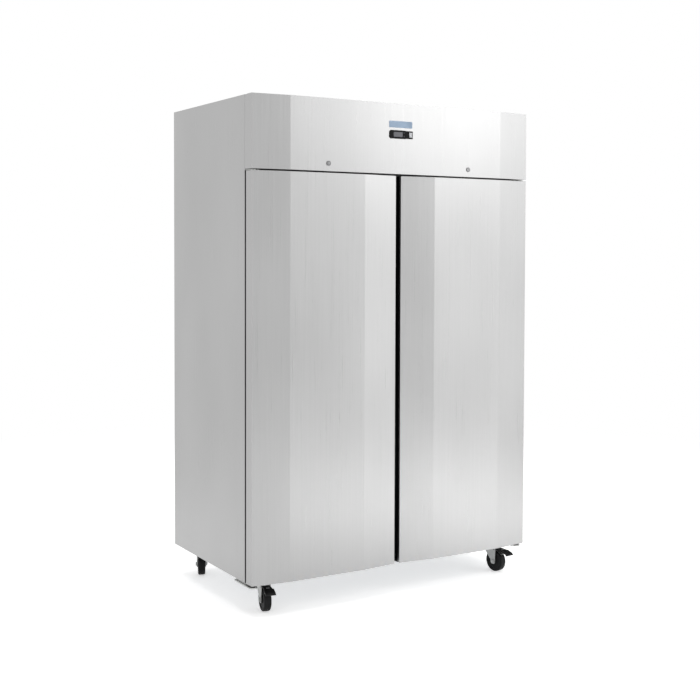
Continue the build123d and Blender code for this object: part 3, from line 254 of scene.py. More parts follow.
nodeFinish = {
    "stainless": both("%s_side_panel") + ["header_fascia"] + both("door_%s_skin"),
    "galvanised": ["rear_panel", "rear_grille", "roof_cover", "roof_tray", "base_pan"],
    "linerSteel": ["inner_liner", "shelf_uprights", "shelf_runners"] + both("door_%s_inner_pan"),
    # front frame and mullion: a grey darkened as painted shade for the door gaps
    "framePlasticGapShade": ["front_frame", "mullion"],
    "gripPlastic": both("door_%s_grip"),
    "controllerBlack": ["controller", "rocker_housing"],
    "blackPlastic": both("door_%s_fittings") + ["condenser_fan"] + both("evaporator_fan_%s")
    + ["temperature_probe", "mains_gland"] + both("castor_front_%s_pedal"),
    "greyPlastic": ["electrical_box"],
    "keyPlastic": ["power_rocker"],
    "keyGrey": ["controller_key_up", "controller_key_down"],
    "lens": ["controller_display"],
    "gasketRubber": both("door_%s_gasket"),
    "foam": ["insulation"] + both("door_%s_core"),
    "coatedWire": ["wire_shelves"],
    "aluminium": ["evaporator_cover", "evaporator_coil"],
    "copper": ["refrigerant_pipes"],
    "blackEnamel": ["compressor", "condenser_coil", "fan_motors"],
    "zincPlated": ["hinge_brackets", "castor_plates"] + ["castor_%s_fork" % c for c in corners],
    "wheelBlack": ["castor_%s_wheel" % c for c in corners],
    "nickel": ["lock_bodies"],
    "brightNickel": both("lock_cylinder_%s"),
}
for finish, names in nodeFinish.items():
    for name in names:
        nodes[name].data.materials.clear()
        nodes[name].data.materials.append(finishes[finish])
dressed = {n for names in nodeFinish.values() for n in names}
print("nodes without a finish:", sorted(set(nodes) - dressed))


# Helpers for the pieces

bodyOf = {node: body for body, members in frame["record"]["behaviour"]["bodies"].items() for node in members}
slotOf = {part["node"]: part["material_slot"] for part in frame["record"]["subparts"]}
finishOf = {node: finish for finish, names in nodeFinish.items() for node in names}
jointOf = {joint["name"]: joint for joint in frame["joints"]}
tiny = 0.00001  # metres, closer than this is the same place
facing = 0.99  # cosine above which a face looks along an axis
roundSmooth = 40  # degrees, up to which the facets of tubes and cans are smoothed over


def selectOnly(piece):
    bpy.ops.object.select_all(action="DESELECT")
    piece.select_set(True)
    bpy.context.view_layer.objects.active = piece


def selectSome(piece, mode, wanted):
    # leaves the piece in edit mode with only the edges or faces that pass the test selected
    selectOnly(piece)
    bpy.ops.object.mode_set(mode="EDIT")
    bpy.ops.mesh.select_mode(type=mode)
    bpy.ops.mesh.select_all(action="DESELECT")
    mesh = bmesh.from_edit_mesh(piece.data)
    for item in mesh.edges if mode == "EDGE" else mesh.faces:
        if wanted(item):
            item.select_set(True)
    bmesh.update_edit_mesh(piece.data)


def selectEdges(piece, wanted):
    selectSome(piece, "EDGE", wanted)


def selectFaces(piece, wanted):
    selectSome(piece, "FACE", wanted)


def bevelEdges(piece, wanted, widthMm, steps):
    selectSome(piece, "EDGE", wanted)
    bpy.ops.mesh.bevel(offset=widthMm / 1000, segments=steps, affect="EDGES")
    bpy.ops.object.mode_set(mode="OBJECT")


def smooth(piece, angle):
    selectOnly(piece)
    bpy.ops.object.shade_smooth_by_angle(angle=math.radians(angle))


def runsAlong(axis):
    # a test for edges whose two ends differ along one axis: 0, 1 or 2
    return lambda edge: abs(edge.verts[0].co[axis] - edge.verts[1].co[axis]) > tiny


def wholeAgain(piece):
    # merges the split vertices and joins the triangles of each flat face
    selectOnly(piece)
    bpy.ops.object.mode_set(mode="EDIT")
    bpy.ops.mesh.select_all(action="SELECT")
    bpy.ops.mesh.remove_doubles(threshold=tiny)
    bpy.ops.mesh.dissolve_limited(angle_limit=math.radians(0.3))
    bpy.ops.mesh.normals_make_consistent(inside=False)
    bpy.ops.object.mode_set(mode="OBJECT")


def cadCopy(node, seams=()):
    # a copy of a CAD node; a seam (height, way) keeps the solid beyond that height apart from the rest
    piece = bpy.data.objects.new(node + "_dressed", nodes[node].data.copy())
    bpy.context.scene.collection.objects.link(piece)
    selectOnly(piece)
    bpy.ops.mesh.customdata_custom_splitnormals_clear()
    parts = [piece]
    for height, way in seams:
        def beyond(face):
            rise = way * (face.calc_center_median().z - height)
            return rise > tiny or (abs(rise) < tiny and way * face.normal.z < -facing)
        selectFaces(piece, beyond)
        bpy.ops.mesh.separate(type="SELECTED")
        bpy.ops.object.mode_set(mode="OBJECT")
        parts += [o for o in bpy.context.selected_objects if o is not piece]
    for part in parts:
        wholeAgain(part)
    bpy.ops.object.select_all(action="DESELECT")
    for part in parts:
        part.select_set(True)
    bpy.context.view_layer.objects.active = piece
    if len(parts) > 1:
        bpy.ops.object.join()
    return piece


def roundEdges(piece, widthMm, segments=2, angle=30):
    # rounds every edge sharper than the angle and smooths the rest
    smooth(piece, angle)
    modifier = piece.modifiers.new("edges", "BEVEL")
    modifier.width = widthMm / 1000
    modifier.segments = segments
    modifier.limit_method = "ANGLE"
    modifier.angle_limit = math.radians(angle)
    modifier.harden_normals = True
    bpy.ops.object.modifier_apply(modifier="edges")
    # a fold narrower than the rounding leaves faces with no area
    bpy.ops.object.mode_set(mode="EDIT")
    bpy.ops.mesh.select_all(action="SELECT")
    bpy.ops.mesh.remove_doubles(threshold=tiny)
    bpy.ops.object.mode_set(mode="OBJECT")
    flatter = piece.modifiers.new("normals", "WEIGHTED_NORMAL")
    flatter.keep_sharp = True
    bpy.ops.object.modifier_apply(modifier="normals")


def dress(piece, finish, *replaced, body=None, slot=None):
    # gives a piece its finish and its body, and hides the CAD nodes it stands for
    piece.data.materials.clear()
    piece.data.materials.append(finishes[finish])
    if replaced:
        body = bodyOf[replaced[0]]
        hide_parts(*replaced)
    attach(piece, body)
    return piece


def at(*millimetres):
    return Vector([value / 1000 for value in millimetres])


def blockPiece(low, high):
    # a block between two corners in mm, to be cut and rounded further
    bpy.ops.mesh.primitive_cube_add(size=1.0, location=(0, 0, 0))
    piece = bpy.context.object
    size = at(*high) - at(*low)
    piece.data.transform(Matrix.Translation((at(*low) + at(*high)) / 2) @ Matrix.Diagonal((*size, 1)))
    return piece


def rodPiece(radiusMm, start, end, sides=24):
    # a round rod between two places in mm
    start, end = at(*start), at(*end)
    bpy.ops.mesh.primitive_cylinder_add(vertices=sides, radius=radiusMm / 1000, depth=(end - start).length,
                                        location=(0, 0, 0))
    piece = bpy.context.object
    turn = (end - start).to_track_quat("Z", "Y").to_matrix().to_4x4()
    piece.data.transform(Matrix.Translation((start + end) / 2) @ turn)
    return piece


def tubePiece(radiusMm, places, bendMm, sides=16, steps=6, capped=True):
    # a round tube along straight runs, spun round a bend at each corner
    points = [at(*place) for place in places]
    into = (points[1] - points[0]).normalized()
    bpy.ops.mesh.primitive_circle_add(vertices=sides, radius=radiusMm / 1000, location=(0, 0, 0),
                                      fill_type="NGON" if capped else "NOTHING")
    piece = bpy.context.object
    piece.data.transform(Matrix.Translation(points[0]) @ into.to_track_quat("Z", "Y").to_matrix().to_4x4())
    bpy.ops.object.mode_set(mode="EDIT")
    bpy.ops.mesh.select_all(action="SELECT")
    here, bend = points[0], bendMm / 1000
    for i in range(1, len(points)):
        into = (points[i] - here).normalized()
        trim = 0.0
        if i + 1 < len(points):
            out = (points[i + 1] - points[i]).normalized()
            turn = into.angle(out)
            trim = bend * math.tan(turn / 2)
        run = into * ((points[i] - here).length - trim)
        bpy.ops.mesh.extrude_region_move(TRANSFORM_OT_translate={"value": run})
        here = here + run
        if trim:
            axis = into.cross(out).normalized()
            # the operator turns the other way round from the axis
            bpy.ops.mesh.spin(steps=steps, angle=-turn, center=here + axis.cross(into) * bend, axis=axis)
            here = points[i] + out * trim
    bpy.ops.mesh.select_all(action="SELECT")
    bpy.ops.mesh.remove_doubles(threshold=2 * tiny)
    bpy.ops.mesh.normals_make_consistent(inside=False)
    bpy.ops.object.mode_set(mode="OBJECT")
    smooth(piece, roundSmooth)
    return piece


def joined(pieces, name):
    bpy.ops.object.select_all(action="DESELECT")
    for piece in pieces:
        piece.select_set(True)
    bpy.context.view_layer.objects.active = pieces[0]
    if len(pieces) > 1:
        bpy.ops.object.join()
    pieces[0].name = name
    return pieces[0]


def copied(piece, move):
    # the same shape again in its own mesh, moved by a matrix
    again = bpy.data.objects.new(piece.name + "_again", piece.data.copy())
    bpy.context.scene.collection.objects.link(again)
    again.data.transform(move)
    if move.determinant() < 0:
        again.data.flip_normals()
    return again


mirrorX = Matrix.Diagonal((-1, 1, 1, 1))


# Folded steel: door skins, header and side panels with rounded folds

foldedSteel = {"foldRadius": 2.4, "edge": 0.3, "steps": 4, "sheet": 1.0, "shortest": 50.0,
               "leastTurn": 3.0, "mostTurn": 12.0, "sharp": 25}


def isFold(edge):
    # an upright edge where the front changes direction by a few degrees
    if len(edge.link_faces) != 2:
        return False
    if abs(edge.verts[0].co.z - edge.verts[1].co.z) < foldedSteel["shortest"] / 1000:
        return False
    turn = math.degrees(edge.calc_face_angle(0))
    return foldedSteel["leastTurn"] < turn < foldedSteel["mostTurn"]


sheet = foldedSteel["sheet"] / 1000
for node in ("door_left_skin", "door_right_skin", "header_fascia"):
    low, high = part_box(node)
    piece = cadCopy(node, seams=((high.z - sheet, 1), (low.z + sheet, -1)))
    bevelEdges(piece, isFold, foldedSteel["foldRadius"], foldedSteel["steps"])
    roundEdges(piece, foldedSteel["edge"], angle=foldedSteel["sharp"])
    dress(piece, finishOf[node], node)
for node in ("left_side_panel", "right_side_panel"):
    piece = cadCopy(node)
    roundEdges(piece, foldedSteel["edge"])
    dress(piece, finishOf[node], node)
print("folded steel dressed")


# Pieces whose CAD shape only needs its edges rounded, with the radius in mm

edgeRadius = {
    "rear_panel": 0.3, "rear_grille": 0.25, "roof_cover": 0.3, "base_pan": 0.3, "roof_tray": 0.3,
    "inner_liner": 0.4, "controller_display": 0.3,
    "front_frame": 0.6, "mullion": 0.6, "hinge_brackets": 0.45,
    "door_left_grip": 0.5, "door_right_grip": 0.5, "door_left_fittings": 0.5, "door_right_fittings": 0.5,
    "door_left_inner_pan": 0.35, "door_right_inner_pan": 0.35,
    "door_left_gasket": 0.7, "door_right_gasket": 0.7,
    "controller": 0.8, "rocker_housing": 0.6, "power_rocker": 0.8,
    "controller_key_up": 0.5, "controller_key_down": 0.5,
    "lock_bodies": 0.5, "lock_cylinder_left": 0.3, "lock_cylinder_right": 0.3,
    "shelf_uprights": 0.4, "shelf_runners": 0.3, "electrical_box": 0.8, "mains_gland": 0.6,
    "temperature_probe": 0.6, "castor_plates": 0.6, "evaporator_cover": 0.3, "fan_motors": 0.8,
    **{"castor_%s_fork" % corner: 0.8 for corner in corners},
    "castor_front_left_pedal": 1.0, "castor_front_right_pedal": 1.0,
}
for node, radius in edgeRadius.items():
    piece = cadCopy(node)
    roundEdges(piece, radius)
    dress(piece, finishOf[node], node)
print("edges rounded on", len(edgeRadius), "pieces")


# Castor wheels: one model, turned for each corner

wheelShape = {"sides": 72, "width": 30.0, "shoulder": 4.5, "shoulderSteps": 4, "rim": 8.0, "lip": 1.5,
              "dish": 2.5, "webTo": 17.0, "hub": 12.5, "hubRise": 2.0, "edge": 0.5}


def wheelModel(radius):
    # the axis is along Z at the origin
    s = wheelShape
    width = s["width"] / 1000
    bpy.ops.mesh.primitive_cylinder_add(vertices=s["sides"], radius=radius, depth=width)
    wheel = bpy.context.object
    bevelEdges(wheel, lambda e: abs(abs(e.verts[0].co.z + e.verts[1].co.z) - width) < tiny,
               s["shoulder"], s["shoulderSteps"])
    selectFaces(wheel, lambda f: abs(f.normal.z) > facing and len(f.verts) == s["sides"])
    bpy.ops.mesh.inset(thickness=s["rim"] / 1000)
    bpy.ops.mesh.inset(thickness=s["lip"] / 1000, depth=-s["dish"] / 1000)
    left = radius * 1000 - s["shoulder"] - s["rim"] - s["lip"] - s["webTo"]
    bpy.ops.mesh.inset(thickness=left / 1000)
    bpy.ops.mesh.inset(thickness=(s["webTo"] - s["hub"]) / 1000, depth=(s["dish"] + s["hubRise"]) / 1000)
    bpy.ops.object.mode_set(mode="OBJECT")
    roundEdges(wheel, s["edge"])
    return wheel


low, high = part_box("castor_rear_right_wheel")
model = wheelModel((high.z - low.z) / 2)
for corner in corners:
    node = "castor_%s_wheel" % corner
    low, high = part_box(node)
    axle = Vector(jointOf["castor_%s_roll" % corner]["axis"])
    wheel = bpy.data.objects.new(node + "_dressed", model.data.copy())
    bpy.context.scene.collection.objects.link(wheel)
    turn = axle.to_track_quat("Z", "Y").to_matrix().to_4x4()
    wheel.data.transform(Matrix.Translation((low + high) / 2) @ turn)
    dress(wheel, finishOf[node], node)
bpy.data.objects.remove(model)
print("wheels made")


# Brake pedals, in the castor's own directions: a pale moulded bar on the pad, a zinc leaf over the tread

padBar = {"wide": 15.0, "long": 5.0, "rise": 0.5, "ahead": 74.0, "height": 101.7, "corner": 1.5, "slope": 4.1,
          "steps": 3, "edge": 0.2}
brakeLeaf = {"wide": 26.0, "thick": 1.2, "from": 46.0, "height": 95.6, "flat": 6.0,
             "bends": ((0, -20.0, -13.0), (0, -5.0, -1.0)), "edge": 0.4}
for side in ("left", "right"):
    swivel = Vector(jointOf["castor_front_%s_turn" % side]["pos_m"])
    axle = Vector(jointOf["castor_front_%s_roll" % side]["axis"])
    heading = math.atan2(axle.y, axle.x) if axle.x > 0 else math.atan2(-axle.y, -axle.x)
    halfWide, halfLong = padBar["wide"] / 2, padBar["long"] / 2
    bar = blockPiece((-halfWide, -halfLong, -padBar["rise"]), (halfWide, halfLong, padBar["rise"]))
    bevelEdges(bar, runsAlong(2), padBar["corner"], padBar["steps"])
    roundEdges(bar, padBar["edge"])
    castor = Matrix.Translation((swivel.x, swivel.y, 0)) @ Matrix.Rotation(heading, 4, "Z")
    place = castor @ Matrix.Translation(at(0, -padBar["ahead"], padBar["height"]))
    bar.data.transform(place @ Matrix.Rotation(math.radians(padBar["slope"]), 4, "X"))
    bar.name = "pedalBar_" + side
    dress(bar, "keyPlastic", body="castor_front_%s_pedal" % side, slot="light_plastic")

    halfWide = brakeLeaf["wide"] / 2
    low = (-halfWide, -brakeLeaf["from"] - brakeLeaf["flat"], brakeLeaf["height"] - brakeLeaf["thick"])
    leaf = blockPiece(low, (halfWide, -brakeLeaf["from"], brakeLeaf["height"]))
    selectFaces(leaf, lambda f: f.normal.y < -facing)
    for step in brakeLeaf["bends"]:
        bpy.ops.mesh.extrude_region_move(TRANSFORM_OT_translate={"value": at(*step)})
    bpy.ops.object.mode_set(mode="OBJECT")
    roundEdges(leaf, brakeLeaf["edge"])
    leaf.data.transform(castor)
    leaf.name = "brakeLeaf_" + side
    dress(leaf, "zincPlated", body="castor_front_%s_pedal" % side, slot=slotOf["hinge_brackets"])
print("pedal bars and brake leaves made")


# Plain plate over the controls

plate = {"width": 112.0, "height": 27.0, "rise": 1.0, "corner": 3.0, "above": 41.0, "middleX": -1.5,
         "steps": 4, "edge": 0.25}
low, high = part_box("controller")
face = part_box("header_fascia")[0].y
bpy.ops.mesh.primitive_cube_add(size=1.0)
badge = bpy.context.object
badge.name = "plainBadgePlate"
place = Matrix.Translation((plate["middleX"] / 1000, face - plate["rise"] / 2000,
                            (low.z + high.z) / 2 + plate["above"] / 1000))
badge.data.transform(place @ Matrix.Diagonal((*at(plate["width"], plate["rise"], plate["height"]), 1)))
bevelEdges(badge, runsAlong(1), plate["corner"], plate["steps"])
roundEdges(badge, plate["edge"])
dress(badge, "badgeBlue", body="header", slot="light_plastic")
print("badge plate made")


# Wire shelves: round wires welded to a round frame, one model for all six

shelfShape = {"frameRadius": 4.0, "corner": 16.0, "wireRadius": 2.0, "pitch": 42.0, "barRadius": 2.4,
              "frameSides": 12, "wireSides": 10, "barShare": 0.2, "barDrop": 1.2, "smooth": 50,
              "spacing": 360.0, "innerEnd": -61.0}


def shelfModel(low, high):
    s = shelfShape
    r, z = s["frameRadius"], low.z * 1000 + s["frameRadius"]
    x0, x1, y0, y1 = low.x * 1000 + r, high.x * 1000 - r, low.y * 1000 + r, high.y * 1000 - r
    middleX, middleY = (x0 + x1) / 2, (y0 + y1) / 2
    loop = [(middleX, y0, z), (x1, y0, z), (x1, y1, z), (x0, y1, z), (x0, y0, z), (middleX, y0, z)]
    wires = [tubePiece(r, loop, s["corner"], sides=s["frameSides"], capped=False)]
    count = int((x1 - x0 - 2 * r) / s["pitch"])
    wireZ = z + r - s["wireRadius"]
    for i in range(count):
        x = middleX + (i - (count - 1) / 2) * s["pitch"]
        wires.append(rodPiece(s["wireRadius"], (x, y0, wireZ), (x, y1, wireZ), sides=s["wireSides"]))
    barZ = z - s["barDrop"]
    for y in (y0 + (y1 - y0) * s["barShare"], middleY, y1 - (y1 - y0) * s["barShare"]):
        wires.append(rodPiece(s["barRadius"], (x0, y, barZ), (x1, y, barZ), sides=s["wireSides"]))
    for wire in wires:
        smooth(wire, s["smooth"])
    return joined(wires, "shelfModel")


low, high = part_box("wire_shelves")
shelfTops = [high.z - below * shelfShape["spacing"] / 1000 for below in (2, 1, 0)]
first = shelfModel(low, Vector((shelfShape["innerEnd"] / 1000, high.y, shelfTops[0])))
shelves = [first]
for top in shelfTops[1:]:
    shelves.append(copied(first, Matrix.Translation((0, 0, top - shelfTops[0]))))
shelves += [copied(shelf, mirrorX) for shelf in shelves]
dress(joined(shelves, "wireShelves"), finishOf["wire_shelves"], "wire_shelves")
print("shelves made")


# Finned coils: thin fins between end plates, with the tubes' return bends at the ends

evaporatorShape = {"low": (-380, 216.8, 1578), "high": (380, 326.8, 1688), "plateLow": 1572,
                   "plateHigh": 1700, "finPitch": 6.0, "fin": 0.5, "plate": 2.0, "lip": 6.0, "behind": 4.0,
                   "tube": 4.75, "bend": 12.5, "rows": (1605.0, 1633.0, 1661.0),
                   "columns": (234.0, 272.0, 309.0)}
condenserShape = {"low": (-380, -256.2, 1768), "high": (40, -196.2, 1978), "plateLow": 1760,
                  "plateHigh": 1982, "finPitch": 4.5, "fin": 0.4, "plate": 2.0, "lip": 6.0, "behind": 6.0,
                  "tube": 4.5, "bend": 10.5, "rows": (1789.0, 1831.0, 1873.0, 1915.0, 1957.0),
                  "columns": (-237.0, -216.0)}
coilTube = {"out": 4, "tipBack": 1, "clear": 0.1, "sides": 14, "plateEdge": 0.4}
# what is kept of the CAD condenser: the shroud behind the finned block
shroudShape = {"front": -191.2, "middleX": -170.0, "halfWidth": 210.1, "edge": 0.4}


def finnedCoil(shape):
    (x0, y0, z0), (x1, y1, z1) = shape["low"], shape["high"]
    fins = []
    count = int((x1 - x0) / shape["finPitch"])
    gap = (x1 - x0) / count
    for i in range(count):
        x = x0 + gap * (i + 0.5)
        fins.append(blockPiece((x - shape["fin"] / 2, y0, z0), (x + shape["fin"] / 2, y1, z1)))
    plates = []
    for x in (x0 - shape["plate"], x1):
        plate = blockPiece((x, y0 - shape["lip"], shape["plateLow"]),
                           (x + shape["plate"], y1 + shape["behind"], shape["plateHigh"]))
        roundEdges(plate, coilTube["plateEdge"])
        plates.append(plate)
    tubes = []
    columns = shape["columns"]
    ends = (x1 + coilTube["out"], x0 - coilTube["out"])
    reach = shape["bend"] - coilTube["tipBack"]
    tips = (ends[0] + reach, ends[1] - reach)
    bend = min(shape["bend"], (columns[1] - columns[0]) / 2 - coilTube["clear"])
    for z in shape["rows"]:
        # one tube goes to and fro through the fins
        path = [(ends[1], columns[0], z)]
        for i, y in enumerate(columns[:-1]):
            path += [(tips[i % 2], y, z), (tips[i % 2], columns[i + 1], z)]
        path.append((ends[(len(columns) - 1) % 2], columns[-1], z))
        tubes.append(tubePiece(shape["tube"], path, bend, sides=coilTube["sides"]))
    return joined(fins, "fins"), joined(plates, "plates"), joined(tubes, "tubes")


fins, plates, tubes = finnedCoil(evaporatorShape)
dress(joined([fins, plates], "evaporatorFins"), finishOf["evaporator_coil"], "evaporator_coil")
tubes.name = "evaporatorTubes"
dress(tubes, "copper", body="cabinet", slot=slotOf["refrigerant_pipes"])

fins, plates, tubes = finnedCoil(condenserShape)


def isNotShroud(face):
    middle = face.calc_center_median() * 1000
    besides = abs(middle.x - shroudShape["middleX"]) > shroudShape["halfWidth"]
    return middle.y < shroudShape["front"] or besides


shroud = cadCopy("condenser_coil")
selectFaces(shroud, isNotShroud)
bpy.ops.mesh.delete(type="FACE")
bpy.ops.object.mode_set(mode="OBJECT")
roundEdges(shroud, shroudShape["edge"])
dress(joined([fins, plates, shroud], "condenserFins"), finishOf["condenser_coil"], "condenser_coil")
tubes.name = "condenserTubes"
dress(tubes, "blackEnamel", body="cabinet", slot=slotOf["condenser_coil"])
print("coils made")


# Fans: a domed hub with pitched and twisted blades, their axis along Y

fanShape = {"blades": 5, "hub": 0.3, "hubSides": 40, "hubRound": 0.09, "hubSteps": 4,
            "rootChord": 0.34, "tipChord": 0.62, "swell": 0.62, "tipFrom": 0.86, "tipLength": 0.2,
            "rootIn": 2, "tipGap": 2.5, "spans": 10, "chords": 8,
            "pitch": 28.0, "twist": -12.0, "thick": 1.6, "edge": 0.4}


def fanModel(radius, depth):
    s = fanShape
    hub = rodPiece(radius * s["hub"], (0, 0, 0), (0, 0, depth), sides=s["hubSides"])
    domed = depth / 1000 - tiny
    bevelEdges(hub, lambda e: e.verts[0].co.z > domed and e.verts[1].co.z > domed,
               radius * s["hubRound"], s["hubSteps"])
    bpy.ops.mesh.primitive_grid_add(x_subdivisions=s["spans"], y_subdivisions=s["chords"], size=1.0,
                                    location=(0, 0, 0))
    blade = bpy.context.object
    root, tip = radius * s["hub"] - s["rootIn"], radius - s["tipGap"]
    stretch = Matrix.Diagonal(((tip - root) / 1000, 1, 1, 1))
    blade.data.transform(Matrix.Translation(at((root + tip) / 2, 0, 0)) @ stretch)
    for step in range(s["spans"] + 1):
        x = (root + (tip - root) * step / s["spans"]) / 1000
        part = step / s["spans"]
        # the blade widens towards its tip and is rounded off there
        wider = (s["tipChord"] - s["rootChord"]) * math.sin(part * math.pi * s["swell"])
        chord = radius / 1000 * (s["rootChord"] + wider)
        chord *= math.sqrt(max(0.0, 1 - max(0.0, (part - s["tipFrom"]) / s["tipLength"]) ** 2))
        selectEdges(blade, lambda e: abs(e.verts[0].co.x - x) < tiny and abs(e.verts[1].co.x - x) < tiny)
        bpy.ops.transform.resize(value=(1, chord, 1), center_override=(x, 0, 0))
        bpy.ops.object.mode_set(mode="OBJECT")
    selectOnly(blade)
    twist = blade.modifiers.new("twist", "SIMPLE_DEFORM")
    twist.deform_method = "TWIST"
    twist.deform_axis = "X"
    twist.angle = math.radians(s["twist"])
    bpy.ops.object.modifier_apply(modifier="twist")
    skin = blade.modifiers.new("skin", "SOLIDIFY")
    skin.thickness = s["thick"] / 1000
    skin.offset = 0.0
    bpy.ops.object.modifier_apply(modifier="skin")
    roundEdges(blade, s["edge"])
    middle = Matrix.Translation(at(0, 0, depth / 2))
    pitch = Matrix.Rotation(math.radians(s["pitch"]), 4, "X")
    blades = []
    for i in range(s["blades"]):
        around = Matrix.Rotation(math.radians(360 / s["blades"] * i), 4, "Z")
        blades.append(copied(blade, middle @ around @ pitch))
    bpy.data.objects.remove(blade)
    roundEdges(hub, s["edge"])
    return joined([hub] + blades, "fanModel")


fanSizes = {  # radius and depth in mm
    "evaporator_fan_left": (66.0, 26.0), "evaporator_fan_right": (66.0, 26.0), "condenser_fan": (92.0, 34.0),
}
for name, (radius, depth) in fanSizes.items():
    fan = fanModel(radius, depth)
    axis = Vector(jointOf[name + "_spin"]["pos_m"])
    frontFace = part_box(name)[0].y
    # the domed end of the hub looks to the front
    turn = Matrix.Rotation(math.radians(90), 4, "X")
    fan.data.transform(Matrix.Translation((axis.x, frontFace + depth / 1000, axis.z)) @ turn)
    fan.name = name + "_dressed"
    dress(fan, finishOf[name], name)
print("fans made")


# Compressor: a drawn steel can with a domed lid, weld seam, terminal box and rubber feet

canShape = {"radius": 82.0, "middleX": 190.0, "footHeight": 17, "sides": 72, "bottom": 12.0, "bottomSteps": 5,
            "shoulder": 118.0, "dome": 6, "domeShare": 0.9, "seam": 62.0, "seamRadius": 1.8,
            "seamSides": 8, "seamStretch": 1.5}
footPlate = {"halfX": 80.4, "halfY": 50, "thick": 3, "corner": 12.0, "steps": 4, "edge": 0.5}
terminalBox = {"share": 0.9, "out": 26, "half": 26, "low": 51, "high": 105.4, "edge": 4.0}
boxClip = {"from": 22, "to": 26, "half": 6, "low": 46, "high": 108, "edge": 0.8}
canFeet = {"x": 66.4, "y": 36.0, "radius": 11.5, "sides": 32, "edge": 2.0}
footBolt = {"radius": 5.5, "height": 5, "sides": 6, "edge": 0.6}


def compressorModel():
    s = canShape
    low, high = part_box("compressor")
    radius = s["radius"]
    cx, cy = s["middleX"], (low.y + high.y) * 500
    bottom, top = low.z * 1000 + s["footHeight"], high.z * 1000
    can = rodPiece(radius, (cx, cy, bottom), (cx, cy, bottom + s["shoulder"]), sides=s["sides"])
    edge = bottom / 1000
    bevelEdges(can, lambda e: abs(e.verts[0].co.z - edge) < tiny and abs(e.verts[1].co.z - edge) < tiny,
               s["bottom"], s["bottomSteps"])
    selectFaces(can, lambda f: f.normal.z > facing)
    # the lid follows a quarter of an ellipse, inset by inset
    count = s["dome"]
    rise = top - bottom - s["shoulder"]
    for i in range(count):
        a, b = math.pi / 2 * i / count, math.pi / 2 * (i + 1) / count
        bpy.ops.mesh.inset(thickness=radius * s["domeShare"] * (math.cos(a) - math.cos(b)) / 1000,
                           depth=rise * (math.sin(b) - math.sin(a)) / 1000)
    bpy.ops.object.mode_set(mode="OBJECT")
    smooth(can, roundSmooth)
    bpy.ops.mesh.primitive_torus_add(major_radius=radius / 1000, minor_radius=s["seamRadius"] / 1000,
                                     major_segments=s["sides"], minor_segments=s["seamSides"],
                                     location=(0, 0, 0))
    seam = bpy.context.object
    bpy.ops.object.mode_set(mode="EDIT")
    bpy.ops.mesh.select_all(action="SELECT")
    bpy.ops.transform.resize(value=(1, 1, s["seamStretch"]))
    bpy.ops.object.mode_set(mode="OBJECT")
    seam.data.transform(Matrix.Translation(at(cx, cy, bottom + s["seam"])))
    bpy.ops.object.shade_smooth()
    under = bottom - footPlate["thick"]
    plate = blockPiece((cx - footPlate["halfX"], cy - footPlate["halfY"], under),
                       (cx + footPlate["halfX"], cy + footPlate["halfY"], bottom))
    bevelEdges(plate, runsAlong(2), footPlate["corner"], footPlate["steps"])
    roundEdges(plate, footPlate["edge"])
    side = cx + radius
    inner = cx + radius * terminalBox["share"]
    box = blockPiece((inner, cy - terminalBox["half"], bottom + terminalBox["low"]),
                     (side + terminalBox["out"], cy + terminalBox["half"], bottom + terminalBox["high"]))
    roundEdges(box, terminalBox["edge"], segments=3)
    clip = blockPiece((side + boxClip["from"], cy - boxClip["half"], bottom + boxClip["low"]),
                      (side + boxClip["to"], cy + boxClip["half"], bottom + boxClip["high"]))
    roundEdges(clip, boxClip["edge"])
    can = joined([can, seam, plate, box, clip], "compressorCan")
    feet, bolts = [], []
    for sx in (-1, 1):
        for sy in (-1, 1):
            x, y = cx + sx * canFeet["x"], cy + sy * canFeet["y"]
            foot = rodPiece(canFeet["radius"], (x, y, bottom - s["footHeight"]), (x, y, under),
                            sides=canFeet["sides"])
            roundEdges(foot, canFeet["edge"], segments=3)
            feet.append(foot)
            bolt = rodPiece(footBolt["radius"], (x, y, bottom), (x, y, bottom + footBolt["height"]),
                            sides=footBolt["sides"])
            roundEdges(bolt, footBolt["edge"])
            bolts.append(bolt)
    return can, joined(feet, "compressorFeet"), joined(bolts, "compressorBolts")


can, feet, bolts = compressorModel()
dress(can, finishOf["compressor"], "compressor")
dress(feet, "gasketRubber", body="cabinet", slot=slotOf["door_left_gasket"])
dress(bolts, "zincPlated", body="cabinet", slot=slotOf["hinge_brackets"])
print("compressor made")


# Copper pipes with round bends, and the filter drier with its swaged ends

pipeShape = {"radius": 5.0, "bend": 25.0, "height": 1836.5, "middleY": 18.8, "start": 80, "coilY": -226.2,
             "coilX": 42, "suctionX": 152, "trayZ": 1760, "collarFrom": 84, "collarTo": 98,
             "collarRise": 1.6, "collarEdge": 0.8, "sides": 20}
drierShape = {"x": -440.0, "z": 1784.0, "radius": 16.0, "canY": (-144.2, -38.2), "lineY": (-176.2, -6.2),
              "sides": 40, "swage": 12.0, "swageIn": 3.6, "swageSteps": 3, "smooth": 60}
cradleShape = {"half": 18, "y": (-101.2, -81.2), "edge": 1.0}


